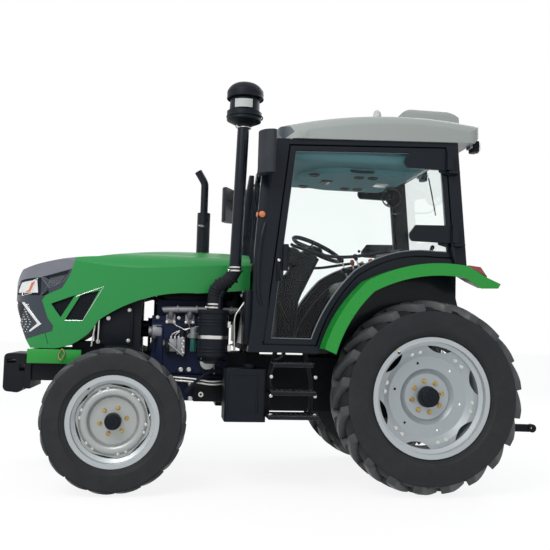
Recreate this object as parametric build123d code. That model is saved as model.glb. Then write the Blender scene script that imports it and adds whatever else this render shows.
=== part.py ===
"""Farm tractor with a cab. X points forward, Y to the left, Z up; millimetres.

The model is drawn with X measured from the rear axle and is moved by REAR_AXLE_X when it is
written, so that the origin lies on the ground under the middle of the whole machine.
"""
import os
from math import cos, hypot, pi, radians, sin

from build123d import *

# ---- driving sizes ---------------------------------------------------------------------------
WHEELBASE = 2000
FRONT_OVERHANG = 760            # front axle to the face of the weights
REAR_OVERHANG = 910             # rear axle to the end of the lower links
REAR_AXLE_X = (REAR_OVERHANG - FRONT_OVERHANG - WHEELBASE) / 2
RUNNING_GAP = 0.3               # between pieces that lie against each other

# wheels: tyre radius, tyre width, rim flange radius, rim width, track
REAR_TYRE_R, REAR_TYRE_W, REAR_FLANGE_R, REAR_RIM_W, REAR_TRACK = 630, 315, 388, 270, 1240
FRONT_TYRE_R, FRONT_TYRE_W, FRONT_FLANGE_R, FRONT_RIM_W, FRONT_TRACK = 450, 215, 283, 180, 1200
RIM_SHEET = 8
WHEEL_TURN = 18                 # how far the discs are turned from straight ahead, in degrees
REAR_HUB_Y = REAR_TRACK / 2
FRONT_HUB_Y = FRONT_TRACK / 2

# front axle and steering
KINGPIN_Y = 478
KINGPIN_R = 22
KINGPIN_GAP = 0.05
AXLE_BEAM_R = 62
STEER_ARM = 165                 # kingpin to tie rod, towards the rear
TIE_ROD_DROP = 95               # tie rod below the hub
TIE_ROD_R = 12
TIE_PIN_R = 10

# chassis
RAIL_INNER_Y, RAIL_W, RAIL_Z0, RAIL_Z1 = 150, 36, 655, 775
ENGINE_X0, ENGINE_X1, ENGINE_W, ENGINE_Z0, ENGINE_Z1 = 1270, 1800, 380, 600, 1110
GEARBOX_X0, GEARBOX_W, GEARBOX_Z0, GEARBOX_Z1 = 250, 330, 470, 850
WEIGHT_COUNT, WEIGHT_W, WEIGHT_PITCH = 8, 42, 46

# cab
CAB_Y = 600                     # outer face of the side frames and doors
SIDE_W = 60
FLOOR_Z, FLOOR_T = 930, 40
CAB_FRONT_X = 1175              # front face of the cab at the floor
FRONT_RAKE = 0.107              # rearward lean of the front face, per unit of height
CAB_REAR_X = -285               # rear face of the cab at the mudguard
REAR_RAKE = 0.086               # forward lean of the rear face, per unit of height
REAR_BASE_Z = 1500
CAB_TOP_Z = 2290                # top of the side frames above the front post
CAB_TOP_RISE = 45               # how much higher their rear end is
RAIL_H = 34
HEADER_H = 65
STOP_LIP, STOP_T = 22, 12       # flange inside the door opening that the door's seal closes on
A_POST_W = 88
REAR_POST_W = 84
WINDOW_BASE_Z = 1500
GLASS_T = 6
INNER_WALL_Y = 444              # outer face of the wall between cab and rear wheel
DECK_Z = 1180
DECK_X = 420
SHEET_T = 12

# doors
DOOR_T = 34
DOOR_RIM = 32
DOOR_GAP = 9
DOOR_FRONT_GAP = 11
HINGE_AXIS_Y = 640
HINGE_AXIS_X, HINGE_AXIS_Z = -168, 1950
HINGE_PIN_R, HINGE_PIN_GAP = 8, 0.05

# mudguards: the band follows these points, front to rear, as distances from the rear hub
GUARD_OUTER_Y = 775
GUARD_LIP = 12
GUARD_TIP, GUARD_SHOULDER = (712, 925), (440, 1366)
GUARD_FRONT_VIA, GUARD_TOP_VIA = (610, 1157), (66, 1487)
GUARD_REAR, GUARD_HIP, GUARD_TAIL = (-225, 1483), (-350, 1414), (-446, 1374)
GUARD_DEPTH, GUARD_TAIL_DEPTH = 80, 34

# hood
HOOD_REAR_X, HOOD_T = 1142, 14
NOSE_X = WHEELBASE + 732        # foremost point of the hood
HOOD_HINGE_X, HOOD_HINGE_Z = 1225, 1492
HOOD_PIN_R, HOOD_PIN_GAP = 10, 0.05

# three-point linkage, a parallelogram in side view
LINK_EYE_R, LINK_BORE_R, LINK_EYE_W = 29, 11.2, 35
LINK_BALL_X, LINK_BALL_Y, LINK_Z = LINK_EYE_R - REAR_OVERHANG, 350, 392
LINK_PIVOT_X, LINK_PIVOT_Y = -105, 235
LIFT_REACH = 330                # arm length, and where the rod meets the link
ROCKSHAFT_Z = 985
LINK_PIN_R, LINK_PIN_GAP = 12, 0.05
ROD_PIN_R, ROD_PIN_GAP = 9, 0.05


# ---- drawing helpers -------------------------------------------------------------------------
def outline_face(place, start, steps):
    """A face from start through steps: a point is a line to it, a pair is an arc (via, to)."""
    edges = []
    here = start
    for step in steps:
        if isinstance(step[0], tuple):
            via, there = step
            edges.append(ThreePointArc(place(here), place(via), place(there)))
        else:
            there = step
            edges.append(Line(place(here), place(there)))
        here = there
    if here != start:
        edges.append(Line(place(here), place(start)))
    return make_face(edges)


def side_shape(y0, y1, start, *steps):
    """An X-Z outline between two Y planes."""
    face = outline_face(lambda p: (p[0], y0, p[1]), start, steps)
    return extrude(face, y1 - y0, dir=(0, 1, 0))


def plan_shape(z0, z1, start, *steps):
    """An X-Y outline between two Z planes."""
    face = outline_face(lambda p: (p[0], p[1], z0), start, steps)
    return extrude(face, z1 - z0, dir=(0, 0, 1))


def front_shape(x0, x1, start, *steps):
    """A Y-Z outline between two X planes."""
    face = outline_face(lambda p: (x0, p[0], p[1]), start, steps)
    return extrude(face, x1 - x0, dir=(1, 0, 0))


def turned(start, *steps):
    """A (radius, along Y) outline turned about the Y axis."""
    face = outline_face(lambda p: (p[0], p[1], 0), start, steps)
    return revolve(face, axis=Axis.Y, revolution_arc=360)


def block(x0, x1, y0, y1, z0, z1):
    return Pos((x0 + x1) / 2, (y0 + y1) / 2, (z0 + z1) / 2) * Box(x1 - x0, y1 - y0, z1 - z0)


def rod(a, b, r):
    span = Vector(*b) - Vector(*a)
    from_end = (Align.CENTER, Align.CENTER, Align.MIN)
    return Plane(origin=a, z_dir=span) * Cylinder(r, span.length, align=from_end)


def y_rod(x, z, y0, y1, r):
    return rod((x, y0, z), (x, y1, z), r)


def pipe(points, radii, r):
    path = FilletPolyline(*points, radius=radii)
    return sweep(Plane(origin=path @ 0, z_dir=path % 0) * Circle(r), path=path)


def other_side(shape):
    return mirror(shape, about=Plane.XZ)


def both(shape):
    return [shape, other_side(shape)]


def both_fused(shape):
    return shape + other_side(shape)


def save(node, *shapes):
    solids = [solid for shape in shapes for solid in shape.solids()]
    made = solids[0] if len(solids) == 1 else Compound(children=solids)
    export_step(Pos(REAR_AXLE_X, 0, 0) * made, f"parts/{node}.step")


# ---- wheels ----------------------------------------------------------------------------------
def rim_ring(flange_r, width):
    seat = flange_r - 22
    drop = seat - 26
    half = width / 2
    return turned(
        (flange_r, -half), (flange_r, -half + 8), (seat, -half + 14), (seat, -half + 46),
        (drop, -half + 62), (drop, half - 62), (seat, half - 46), (seat, half - 14),
        (flange_r, half - 8), (flange_r, half), (seat - RIM_SHEET, half), (seat - RIM_SHEET, half - 42),
        (drop - RIM_SHEET, half - 56), (drop - RIM_SHEET, -half + 56), (seat - RIM_SHEET, -half + 42),
        (seat - RIM_SHEET, -half))


def tyre_ring(tyre_r, width, flange_r, rim_w):
    bead_r = flange_r - 22 + RUNNING_GAP
    bead_y = rim_w / 2 - 14.5
    wall_r = bead_r + 0.45 * (tyre_r - bead_r)
    half = width / 2
    tread = 0.44 * width
    drop = 26
    lip_r = flange_r + 6
    return turned(
        (bead_r, -bead_y), (lip_r, -bead_y), ((wall_r, -half), (tyre_r - drop, -tread)),
        ((tyre_r, 0), (tyre_r - drop, tread)), ((wall_r, half), (lip_r, bead_y)), (bead_r, bead_y))


def rear_disc():
    """Dished disc: raised centre plate, cone, rim flange cut into six lobes, and the hub cap."""
    edge = REAR_FLANGE_R - 22 - 26 - RIM_SHEET
    t = 9
    cap_r = 69
    dish = turned((cap_r, 28), (148, 28), (156, 18), (182, 40), (262, 46), (edge - 30, 70), (edge, 70),
                  (edge, 70 - t), (edge - 28, 70 - t), (264, 46 - t), (184, 40 - t), (158, 18 - t),
                  (cap_r, 18 - t))
    scallop_r, scallop_depth = 140, 39
    square = 15
    for k in range(6):
        at = Rot(0, WHEEL_TURN + 60 * k, 0)
        dish -= at * Pos(edge - scallop_depth + scallop_r, 60, 0) * Rot(90, 0, 0) * Cylinder(scallop_r, 90)
        dish -= at * Rot(0, 30, 0) * Pos(226, 40, 0) * Box(square, 60, square)
    cap = turned((0, 8), (cap_r, 8), (cap_r, 52), (cap_r - 14, 74), (0, 78))
    return dish + cap


def front_disc():
    """Flat centre plate, a smooth bulge round it and an edge with six chords cut off, and the hub cap."""
    edge = FRONT_FLANGE_R - 22 - 26 - RIM_SHEET
    t = 8
    cap_r = 52
    dish = turned((cap_r, 20), (143, 20), (149, 42), ((176, 60), (edge - 18, 40)), (edge, 40),
                  (edge, 40 - t), (edge - 20, 40 - t), ((176, 60 - t), (153, 42 - t)), (145, 20 - t),
                  (cap_r, 20 - t))
    chord_depth = 12
    for k in range(6):
        dish -= Rot(0, WHEEL_TURN + 60 * k, 0) * Pos(edge - chord_depth + 40, 40, 0) * Box(80, 60, 200)
    cap = turned((0, 10), (cap_r, 10), (cap_r, 60), (cap_r - 12, 80), (0, 82))
    return dish + cap


def rear_wheel():
    """Rim with its disc and lugs, and the tyre, about the hub at the origin, outside towards +Y."""
    rim = rim_ring(REAR_FLANGE_R, REAR_RIM_W) + rear_disc()
    return rim, tyre_ring(REAR_TYRE_R, REAR_TYRE_W, REAR_FLANGE_R, REAR_RIM_W)


def front_wheel():
    rim = rim_ring(FRONT_FLANGE_R, FRONT_RIM_W) + front_disc()
    return rim, tyre_ring(FRONT_TYRE_R, FRONT_TYRE_W, FRONT_FLANGE_R, FRONT_RIM_W)


def write_wheels():
    # end, maker, axle x, hub y, hub z
    for end, maker, x, y, z in (("rear", rear_wheel, 0, REAR_HUB_Y, REAR_TYRE_R),
                                ("front", front_wheel, WHEELBASE, FRONT_HUB_Y, FRONT_TYRE_R)):
        rim, tyre = maker()
        at = Pos(x, y, z)
        for side, turn in (("left", lambda s: s), ("right", other_side)):
            save(f"{end}_rim_{side}", turn(at * rim))
            save(f"{end}_tyre_{side}", turn(at * tyre))


# ---- front axle ------------------------------------------------------------------------------
HUB_Z = FRONT_TYRE_R
PIVOT_BOSS_R = 52


def front_axle():
    x = WHEELBASE
    reach = KINGPIN_Y - 74
    beam = y_rod(x, HUB_Z, -reach, reach, AXLE_BEAM_R - 10)
    beam += block(x - 82, x + 82, -125, 125, HUB_Z - 78, HUB_Z + 78)
    beam += rod((x - 105, 0, HUB_Z), (x + 105, 0, HUB_Z), PIVOT_BOSS_R)
    for side in (-1, 1):
        fork = block(x - 42, x + 42, KINGPIN_Y - 88, KINGPIN_Y + 42, HUB_Z - 118, HUB_Z + 118)
        fork -= block(x - 60, x + 60, KINGPIN_Y - 64, KINGPIN_Y + 60, HUB_Z - 88, HUB_Z + 88)
        fork -= rod((x, KINGPIN_Y, HUB_Z - 140), (x, KINGPIN_Y, HUB_Z + 140), KINGPIN_R)
        beam += fork if side > 0 else other_side(fork)
    return beam


def knuckle():
    """Left knuckle: swivel case between the fork arms, stub to the hub, steering arm to the rear."""
    x, y, z = WHEELBASE, KINGPIN_Y, HUB_Z
    case = block(x - 34, x + 34, y - 22, y + 34, z - 82, z + 82)
    case += rod((x, y, z - 128), (x, y, z + 128), KINGPIN_R - KINGPIN_GAP)
    case += y_rod(x, z, y + 34, FRONT_HUB_Y + 10 - RUNNING_GAP, 58)
    arm_z = z - TIE_ROD_DROP
    arm = block(x - STEER_ARM, x - 30, y - 15, y + 15, arm_z + 14, arm_z + 32)
    arm += rod((x - STEER_ARM, y, arm_z + 14), (x - STEER_ARM, y, arm_z + 32), 20)
    arm += rod((x - STEER_ARM, y, arm_z - 16), (x - STEER_ARM, y, arm_z + 20), TIE_PIN_R)
    return case + arm


def tie_rod():
    x, z = WHEELBASE - STEER_ARM, HUB_Z - TIE_ROD_DROP
    bar = y_rod(x, z, -KINGPIN_Y + 20, KINGPIN_Y - 20, TIE_ROD_R)
    for side in (-1, 1):
        bar += rod((x, side * KINGPIN_Y, z - 13), (x, side * KINGPIN_Y, z + 13), 24)
        bar -= rod((x, side * KINGPIN_Y, z - 20), (x, side * KINGPIN_Y, z + 20), TIE_PIN_R + 0.05)
    return bar


def write_front_axle():
    save("front_axle", front_axle())
    left = knuckle()
    save("knuckle_left", left)
    save("knuckle_right", other_side(left))
    save("tie_rod", tie_rod())


# ---- chassis ---------------------------------------------------------------------------------
CARRIER_X = WHEELBASE + FRONT_OVERHANG - 140
BATTERY_X0, BATTERY_X1 = WHEELBASE + 110, WHEELBASE + 330


def front_frame():
    """Rails from the engine forward, hangers for the axle pivot, and the weight carrier."""
    x0, x1 = ENGINE_X1, CARRIER_X - 20
    rails = block(x0, x1, RAIL_INNER_Y, RAIL_INNER_Y + RAIL_W, RAIL_Z0, RAIL_Z1)
    rails += other_side(rails)
    frame = rails + block(x1 - 20, x1 + 20, -205, 205, RAIL_Z0 - 55, RAIL_Z1 + 30)
    frame += block(BATTERY_X0 - 10, x1 - 20, -RAIL_INNER_Y, RAIL_INNER_Y, RAIL_Z0 + 20, RAIL_Z0 + 50)
    frame += block(x0 + 20, x0 + 60, -RAIL_INNER_Y, RAIL_INNER_Y, RAIL_Z0, RAIL_Z1)
    for x in (WHEELBASE - 150, WHEELBASE + 115):
        hanger = front_shape(x, x + 35, (-RAIL_INNER_Y - RAIL_W, RAIL_Z0 + 20), (-70, HUB_Z - 40),
                             ((0, HUB_Z - 78), (70, HUB_Z - 40)), (RAIL_INNER_Y + RAIL_W, RAIL_Z0 + 20))
        frame += hanger
    frame += rod((WHEELBASE - 116, 0, HUB_Z), (WHEELBASE - 105 - RUNNING_GAP, 0, HUB_Z), 34)
    frame += rod((WHEELBASE + 105 + RUNNING_GAP, 0, HUB_Z), (WHEELBASE + 116, 0, HUB_Z), 34)
    bar = block(x1 + 19, x1 + 60, -190, 190, RAIL_Z1 - 15, RAIL_Z1 + 30)
    return frame + bar


def front_weights():
    """Suitcase weights hooked over the carrier bar, side by side."""
    back, face = CARRIER_X + RUNNING_GAP, WHEELBASE + FRONT_OVERHANG
    bar_front = CARRIER_X + 40 + RUNNING_GAP
    bar_top = RAIL_Z1 + 30 + RUNNING_GAP
    top = RAIL_Z1 + 56
    plate = side_shape(
        -WEIGHT_W / 2, WEIGHT_W / 2, (back, top - 8), (back + 12, top), (face - 30, top),
        ((face - 9, top - 9), (face, top - 30)), (face, 610), ((face - 8, 590), (face - 28, 578)),
        (back + 60, 572), ((back + 20, 584), (back + 4, 620)), (back + 4, RAIL_Z0 + 60),
        (bar_front, RAIL_Z0 + 60), (bar_front, bar_top), (back, bar_top))
    hand_slot = Rot(90, 0, 0) * extrude(SlotOverall(64, 26), WEIGHT_W, both=True)
    plate -= Pos((bar_front + face) / 2 + 4, 0, top - 52) * hand_slot
    first = -(WEIGHT_COUNT - 1) / 2 * WEIGHT_PITCH
    return [Pos(0, first + k * WEIGHT_PITCH, 0) * plate for k in range(WEIGHT_COUNT)]


def engine():
    half = ENGINE_W / 2
    body = block(ENGINE_X0, ENGINE_X1, -half, half, ENGINE_Z0 + 120, ENGINE_Z1)
    body += block(ENGINE_X0, ENGINE_X1, -half + 45, half - 45, ENGINE_Z0 - 70, ENGINE_Z0 + 120)
    return body + block(ENGINE_X0 + 40, ENGINE_X1 - 30, -half + 60, half - 60, ENGINE_Z1, ENGINE_Z1 + 110)


def gearbox_housing():
    half = GEARBOX_W / 2
    bell_x = ENGINE_X0 - 130
    under_floor = FLOOR_Z - FLOOR_T - RUNNING_GAP
    bell_top = GEARBOX_Z1 + 20
    case = block(GEARBOX_X0, bell_x, -half, half, GEARBOX_Z0, GEARBOX_Z1)
    case += block(bell_x, ENGINE_X0, -half - 15, half + 15, GEARBOX_Z0 + 40, bell_top)
    for side in (-1, 1):
        y = side * (half - 30)
        case += block(bell_x - 90, bell_x + 20, y - 34, y + 34, GEARBOX_Z1 - 5, under_floor)
    return case


AXLE_CASE_X0, AXLE_CASE_W, AXLE_CASE_Z0, AXLE_CASE_Z1 = -250, 360, 430, 900
TOP_LINK_X, TOP_LINK_Z, TOP_LINK_SLOT, TOP_LINK_BORE_R = -330, 770, 52, 9.65
PTO_X1, PTO_Z, PTO_R, PTO_GAP = -352, 560, 17.5, 0.05
DRAWBAR_X, DRAWBAR_BORE_R = -545, 16
TRUMPET_END = 455


def rear_axle_housing():
    half = AXLE_CASE_W / 2
    case = block(AXLE_CASE_X0, GEARBOX_X0, -half, half, AXLE_CASE_Z0, AXLE_CASE_Z1)
    under_deck = DECK_Z - 30 - RUNNING_GAP
    trumpet = y_rod(0, REAR_TYRE_R, -TRUMPET_END, TRUMPET_END, 88)
    for side in (-1, 1):
        trumpet += y_rod(0, REAR_TYRE_R, side * TRUMPET_END, side * (REAR_HUB_Y + 8 - RUNNING_GAP), 62)
    for side in (-1, 1):
        trumpet += block(-48, 48, side * 370 - 28, side * 370 + 28, REAR_TYRE_R + 60, under_deck)
    cover = block(-200, 130, -150, 150, AXLE_CASE_Z1, ROCKSHAFT_Z + 58)
    shaft_bore = y_rod(LINK_PIVOT_X, ROCKSHAFT_Z, -200, 200, 30)
    link_pin = y_rod(LINK_PIVOT_X, LINK_Z, -LINK_PIVOT_Y - 24, LINK_PIVOT_Y + 24, LINK_PIN_R - LINK_PIN_GAP)
    pin_lug = block(LINK_PIVOT_X - 40, LINK_PIVOT_X + 40, -half + 30, half - 30, LINK_Z - 30, AXLE_CASE_Z0)
    boss = rod((AXLE_CASE_X0 - 24, 0, PTO_Z), (AXLE_CASE_X0, 0, PTO_Z), 48)
    housing = case + trumpet + (cover - shaft_bore) + pin_lug + link_pin + boss
    return housing - rod((AXLE_CASE_X0 - 30, 0, PTO_Z), (AXLE_CASE_X0 + 60, 0, PTO_Z), PTO_R + PTO_GAP)


def top_link_bracket():
    """Plate on the back of the axle housing, with the top link's two ears and the PTO shaft's guard."""
    face = AXLE_CASE_X0 - 12
    guard_z, guard_y, sheet = PTO_Z + 66, 95, 8
    bracket = block(face, AXLE_CASE_X0, -guard_y, guard_y, guard_z, TOP_LINK_Z + 70)
    for side in (-1, 1):
        y = side * (TOP_LINK_SLOT / 2 + 9)
        ear = side_shape(y - 9, y + 9, (face, TOP_LINK_Z - 50), (face, TOP_LINK_Z + 60),
                         (TOP_LINK_X, TOP_LINK_Z + 28),
                         ((TOP_LINK_X - 28, TOP_LINK_Z), (TOP_LINK_X, TOP_LINK_Z - 28)))
        bracket += ear - y_rod(TOP_LINK_X, TOP_LINK_Z, y - 20, y + 20, TOP_LINK_BORE_R)
    bracket += block(PTO_X1 + 10, face, -guard_y, guard_y, guard_z, guard_z + sheet)
    for side in (-1, 1):
        y = side * (guard_y - sheet / 2)
        bracket += block(PTO_X1 + 40, face, y - sheet / 2, y + sheet / 2, PTO_Z - 30, guard_z + sheet)
    return bracket


def pto_shaft():
    """Power take-off shaft with six splines on its free end."""
    shaft = rod((AXLE_CASE_X0 + 58, 0, PTO_Z), (PTO_X1, 0, PTO_Z), PTO_R)
    groove = block(PTO_X1 - 5, PTO_X1 + 76, -4.5, 4.5, PTO_Z + PTO_R - 3, PTO_Z + PTO_R + 5)
    for k in range(6):
        shaft -= Pos(0, 0, PTO_Z) * Rot(60 * k, 0, 0) * Pos(0, 0, -PTO_Z) * groove
    return shaft


def drawbar():
    """Flat bar under the housing with a vertical pin hole at its end."""
    z1 = AXLE_CASE_Z0
    bar = plan_shape(z1 - 32, z1, (-160, -38), (-160, 38), (DRAWBAR_X, 38),
                     ((DRAWBAR_X - 38, 0), (DRAWBAR_X, -38)))
    return bar - rod((DRAWBAR_X, 0, z1 - 40), (DRAWBAR_X, 0, z1 + 8), DRAWBAR_BORE_R)


RADIATOR_X, FAN_Z, FAN_R, FAN_BLADES = WHEELBASE - 45, 1040, 185, 6


def radiator():
    """Core with the fan's shroud behind it and two side plates that lead the air in."""
    core = block(RADIATOR_X, RADIATOR_X + 85, -245, 245, RAIL_Z1, 1330)
    shroud = block(RADIATOR_X - 85, RADIATOR_X, -235, 235, RAIL_Z1 + 25, 1300)
    core += both_fused(block(RADIATOR_X + 84, RADIATOR_X + 150, 233, 245, 870, 1235))
    return core + shroud - rod((RADIATOR_X - 95, 0, FAN_Z), (RADIATOR_X - 15, 0, FAN_Z), FAN_R + 20)


def cooling_fan():
    """Fan on the front of the engine, its blades turning inside the shroud."""
    end = RADIATOR_X - 40
    fan = rod((ENGINE_X1, 0, FAN_Z), (end, 0, FAN_Z), 34)
    blade = Pos(end - 26, 0, FAN_Z + FAN_R / 2 + 10) * Rot(0, 0, 28) * Box(8, 62, FAN_R - 20)
    for k in range(FAN_BLADES):
        fan += Pos(0, 0, FAN_Z) * Rot(360 / FAN_BLADES * k, 0, 0) * Pos(0, 0, -FAN_Z) * blade
    return fan


def battery():
    half = RAIL_INNER_Y - 14
    return block(BATTERY_X0, BATTERY_X1, -half, half, RAIL_Z0 + 50, RAIL_Z0 + 262)


def write_chassis():
    save("front_frame", front_frame())
    save("front_weights", *front_weights())
    save("engine", engine())
    save("gearbox_housing", gearbox_housing())
    save("rear_axle_housing", rear_axle_housing())
    save("top_link_bracket", top_link_bracket())
    save("pto_shaft", pto_shaft())
    save("drawbar", drawbar())
    save("radiator", radiator(), cooling_fan())
    save("battery", battery())


# ---- air and exhaust -------------------------------------------------------------------------
CLEANER_X, CLEANER_Y, CLEANER_R = 1395, 440, 96
CLEANER_TOP_Z = 1150
STACK_X, STACK_Y = 1262, 500
STACK_FOOT = (STACK_X + 6, STACK_Y, CLEANER_TOP_Z + 250)
STACK_TOP = (STACK_X - 20, STACK_Y, 2372)
EXHAUST_X, EXHAUST_Y = 1450, -368


def air_cleaner():
    can = rod((CLEANER_X, CLEANER_Y, 848), (CLEANER_X, CLEANER_Y, CLEANER_TOP_Z), CLEANER_R)
    can += rod((CLEANER_X, CLEANER_Y, 815), (CLEANER_X, CLEANER_Y, 850), 70)
    return can + block(CLEANER_X - 30, CLEANER_X + 30, ENGINE_W / 2, CLEANER_Y - 60, 950, 990)


def intake_pipe():
    """Hose from the cleaner's top, elbow and S-bend, up to the pre-cleaner."""
    foot_x = CLEANER_X - 22
    y, z = CLEANER_Y, CLEANER_TOP_Z
    run = [(foot_x, y, z), (foot_x, y, z + 95), (foot_x - 42, y + 10, z + 175), STACK_FOOT, STACK_TOP]
    return pipe(run, [40, 45, 60], 39)


def pre_cleaner():
    """Spinner body with a flared foot, under a mushroom lid."""
    at = Plane(origin=STACK_TOP, z_dir=Vector(*STACK_TOP) - Vector(*STACK_FOOT)) * Rot(90, 0, 0)
    return at * turned((0, 0), (52, 0), (56, 14), (114, 42), (116, 100), (100, 110), (97, 204), (120, 198),
                       (122, 230), ((98, 272), (30, 296)), (0, 296))


def exhaust_stack():
    x, y = EXHAUST_X, EXHAUST_Y
    muffler = rod((x, y, 1180), (x, y, 1915), 50)
    elbow = pipe([(x, -ENGINE_W / 2, 1085), (x, y, 1085), (x, y, 1190)], [60], 30)
    tail = pipe([(x, y, 1900), (x, y, 2150), (x + 55, y, 2240)], [80], 29)
    return muffler + elbow + tail


def write_stacks():
    save("air_cleaner", air_cleaner())
    save("intake_pipe", intake_pipe())
    save("pre_cleaner", pre_cleaner())
    save("exhaust_stack", exhaust_stack())


# ---- hood ------------------------------------------------------------------------------------
def hood_plan(z0, z1, rear, d):
    """The hood's outline from above, d inside its outer face."""
    n = NOSE_X
    return plan_shape(
        z0, z1, (rear, -282 + d), (1700, -304 + d), ((n - 532, -300 + d), (n - 192 - d, -262 + d)),
        ((n - 2 - d, 0), (n - 192 - d, 262 - d)), ((n - 532, 300 - d), (1700, 304 - d)), (rear, 282 - d))


def hood_block(inset):
    """Hood outline from the side, from above and from the front, met in one solid."""
    d, n = inset, NOSE_X
    rear = HOOD_REAR_X - d * 4
    side = side_shape(
        -400, 400, (rear, 1552 - d), ((1600, 1566 - d), (n - 562, 1497 - d)),
        ((n - 272, 1455 - d), (n - 64 - d, 1392 - d)), ((n - 10 - d, 1290), (n - d, 1166)),
        (n - 112 - d, 925 + d), (n - 147 - d, 872 - 4 * d), (n - 292, 872 - 4 * d),
        ((n - 442, 915 - 3 * d), (n - 582, 1062 - 3 * d)), ((n - 842, 1205 - 3 * d), (1500, 1265 - 3 * d)),
        (rear, 1298 - 3 * d))
    front = front_shape(
        rear - 10, n + 70, (-320, 600), (-320 + d, 1395 - d), ((-262 + d, 1490 - d), (-180, 1530 - d)),
        ((0, 1572 - d), (180, 1530 - d)), ((262 - d, 1490 - d), (320 - d, 1395 - d)), (320 - d, 600))
    return side & hood_plan(700, 1700, rear, d) & front


def mask_region():
    """Everything ahead of the line where the dark nose meets the painted hood."""
    n = NOSE_X
    return side_shape(
        -450, 450, (n - 414, 1700), (n - 414, 1452), (n - 386, 1361), (n - 338, 1272), (n - 232, 1221),
        (n - 210, 1187), (n - 254, 1069), (n - 292, 1020), (n - 287, 985), (n - 32, 900), (n + 170, 900),
        (n + 170, 1700))


HOOD_EAR_Y = 120
# side grille openings: front triangle, rear parallelogram, as distances behind the nose and heights
SIDE_GRILLES = (((274, 1166), (426, 1226), (338, 1080)),
                ((368, 1064), (464, 1232), (582, 1262), (482, 1064)))


def grille_zone():
    return front_shape(NOSE_X - 352, NOSE_X + 70, (-150, 958), (-205, 1150), (-150, 1178), (150, 1178),
                       (205, 1150), (150, 958))


def headlamp_zone():
    """Left lamp opening, swept back round the corner of the nose."""
    return front_shape(NOSE_X - 252, NOSE_X + 70, (92, 1222), (150, 1318), (300, 1345), (300, 1218))


def side_grille_zones():
    zones = []
    for corners in SIDE_GRILLES:
        start, *rest = [(NOSE_X - back, z) for back, z in corners]
        zones.append(side_shape(200, 420, start, *rest))
    return zones[0] + zones[1]


def hood_pieces():
    shell = hood_block(0) - hood_block(HOOD_T)
    mask_zone = mask_region()
    painted = shell - mask_zone - side_grille_zones() - other_side(side_grille_zones())
    mask = (shell & mask_zone) - grille_zone() - headlamp_zone() - other_side(headlamp_zone())
    for side in (-1, 1):
        y = side * HOOD_EAR_Y
        ear = block(HOOD_HINGE_X - 22, HOOD_HINGE_X + 22, y - 8, y + 8, HOOD_HINGE_Z - 22, 1600)
        painted += ear & hood_block(2)
        painted -= y_rod(HOOD_HINGE_X, HOOD_HINGE_Z, y - 20, y + 20, HOOD_PIN_R + HOOD_PIN_GAP)
    return painted, mask


def nose_grilles():
    """Front grille plate and the side grille plates behind their openings."""
    front = (hood_block(8) - hood_block(HOOD_T)) & grille_zone()
    backing = hood_block(HOOD_T + RUNNING_GAP) - hood_block(HOOD_T + 8)
    n = NOSE_X
    side = backing & side_shape(200, 420, (n - 242, 1175), (n - 462, 1262), (n - 612, 1285),
                                (n - 497, 1045), (n - 322, 1045))
    return front, side, other_side(side)


def headlamps():
    return both((hood_block(6) - hood_block(60)) & headlamp_zone() & mask_region())


def behind_front(back=0):
    """All that lies behind the front face of the cab."""
    low, high = 800, CAB_TOP_Z + 310
    return side_shape(-900, 900, (front_x(low, back), low), (front_x(high, back), high), (-900, high), (-900, low))


def hood_hinge_brackets():
    """Two lugs on the firewall with the hood's hinge pins."""
    x, z = HOOD_HINGE_X, HOOD_HINGE_Z
    lugs = []
    for side in (-1, 1):
        y0 = side * HOOD_EAR_Y
        lug = side_shape(y0 - 26, y0 - 12, (x - 140, z - 98), (x - 140, z - 66), (x - 84, z - 48),
                         (x - 55, z - 20), (x - 18, z + 16), (x + 16, z + 16), (x + 16, z - 18),
                         (x - 30, z - 60), (x - 70, z - 98))
        lug += y_rod(HOOD_HINGE_X, HOOD_HINGE_Z, y0 - 20, y0 + 14, HOOD_PIN_R)
        lugs.append(lug - behind_front())
    return lugs


def lower_front_panel():
    """Fixed apron under the nose, open behind and below."""
    z0, z1 = RAIL_Z1 + 30 + RUNNING_GAP, 862
    inset, sheet, n = 8, 12, NOSE_X
    outer = side_shape(-300, 300, (n - 387, z0), (n - 142, z0), (n - 130, z1), (n - 352, z1))
    z0, z1 = z0 - 10, z1 + 10
    inner = side_shape(-300, 300, (n - 432, z0), (n - 142 - sheet, z0), (n - 130 - sheet, z1), (n - 432, z1))
    rear = n - 732
    return (outer & hood_plan(z0, z1, rear, inset)) - (inner & hood_plan(z0, z1, rear, inset + sheet))


def write_hood():
    painted, mask = hood_pieces()
    save("hood_shell", painted)
    save("nose_mask", mask)
    save("nose_grilles", *nose_grilles())
    save("headlamps", *headlamps())
    save("lower_front_panel", lower_front_panel())


# ---- cab -------------------------------------------------------------------------------------
def front_x(z, back=0):
    return CAB_FRONT_X - FRONT_RAKE * (z - FLOOR_Z) - back


def rear_x(z, ahead=0):
    return CAB_REAR_X + REAR_RAKE * (z - REAR_BASE_Z) + ahead


def top_z(x):
    """Height of the side frames' top edge, which the roof lies on."""
    x0, x1 = rear_x(CAB_TOP_Z + CAB_TOP_RISE), front_x(CAB_TOP_Z)
    return CAB_TOP_Z + CAB_TOP_RISE * (x1 - x) / (x1 - x0)


def from_hub(point, d):
    """The point moved d away from the rear hub."""
    x, z = point[0], point[1] - REAR_TYRE_R
    k = 1 + d / hypot(x, z)
    return (x * k, z * k + REAR_TYRE_R)


# width of the side frame's arch between mudguard and door, at the back, the shoulder and the tip
ARCH_REAR_W, ARCH_SHOULDER_W, ARCH_TIP_W = 58, 42, 16


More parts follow.
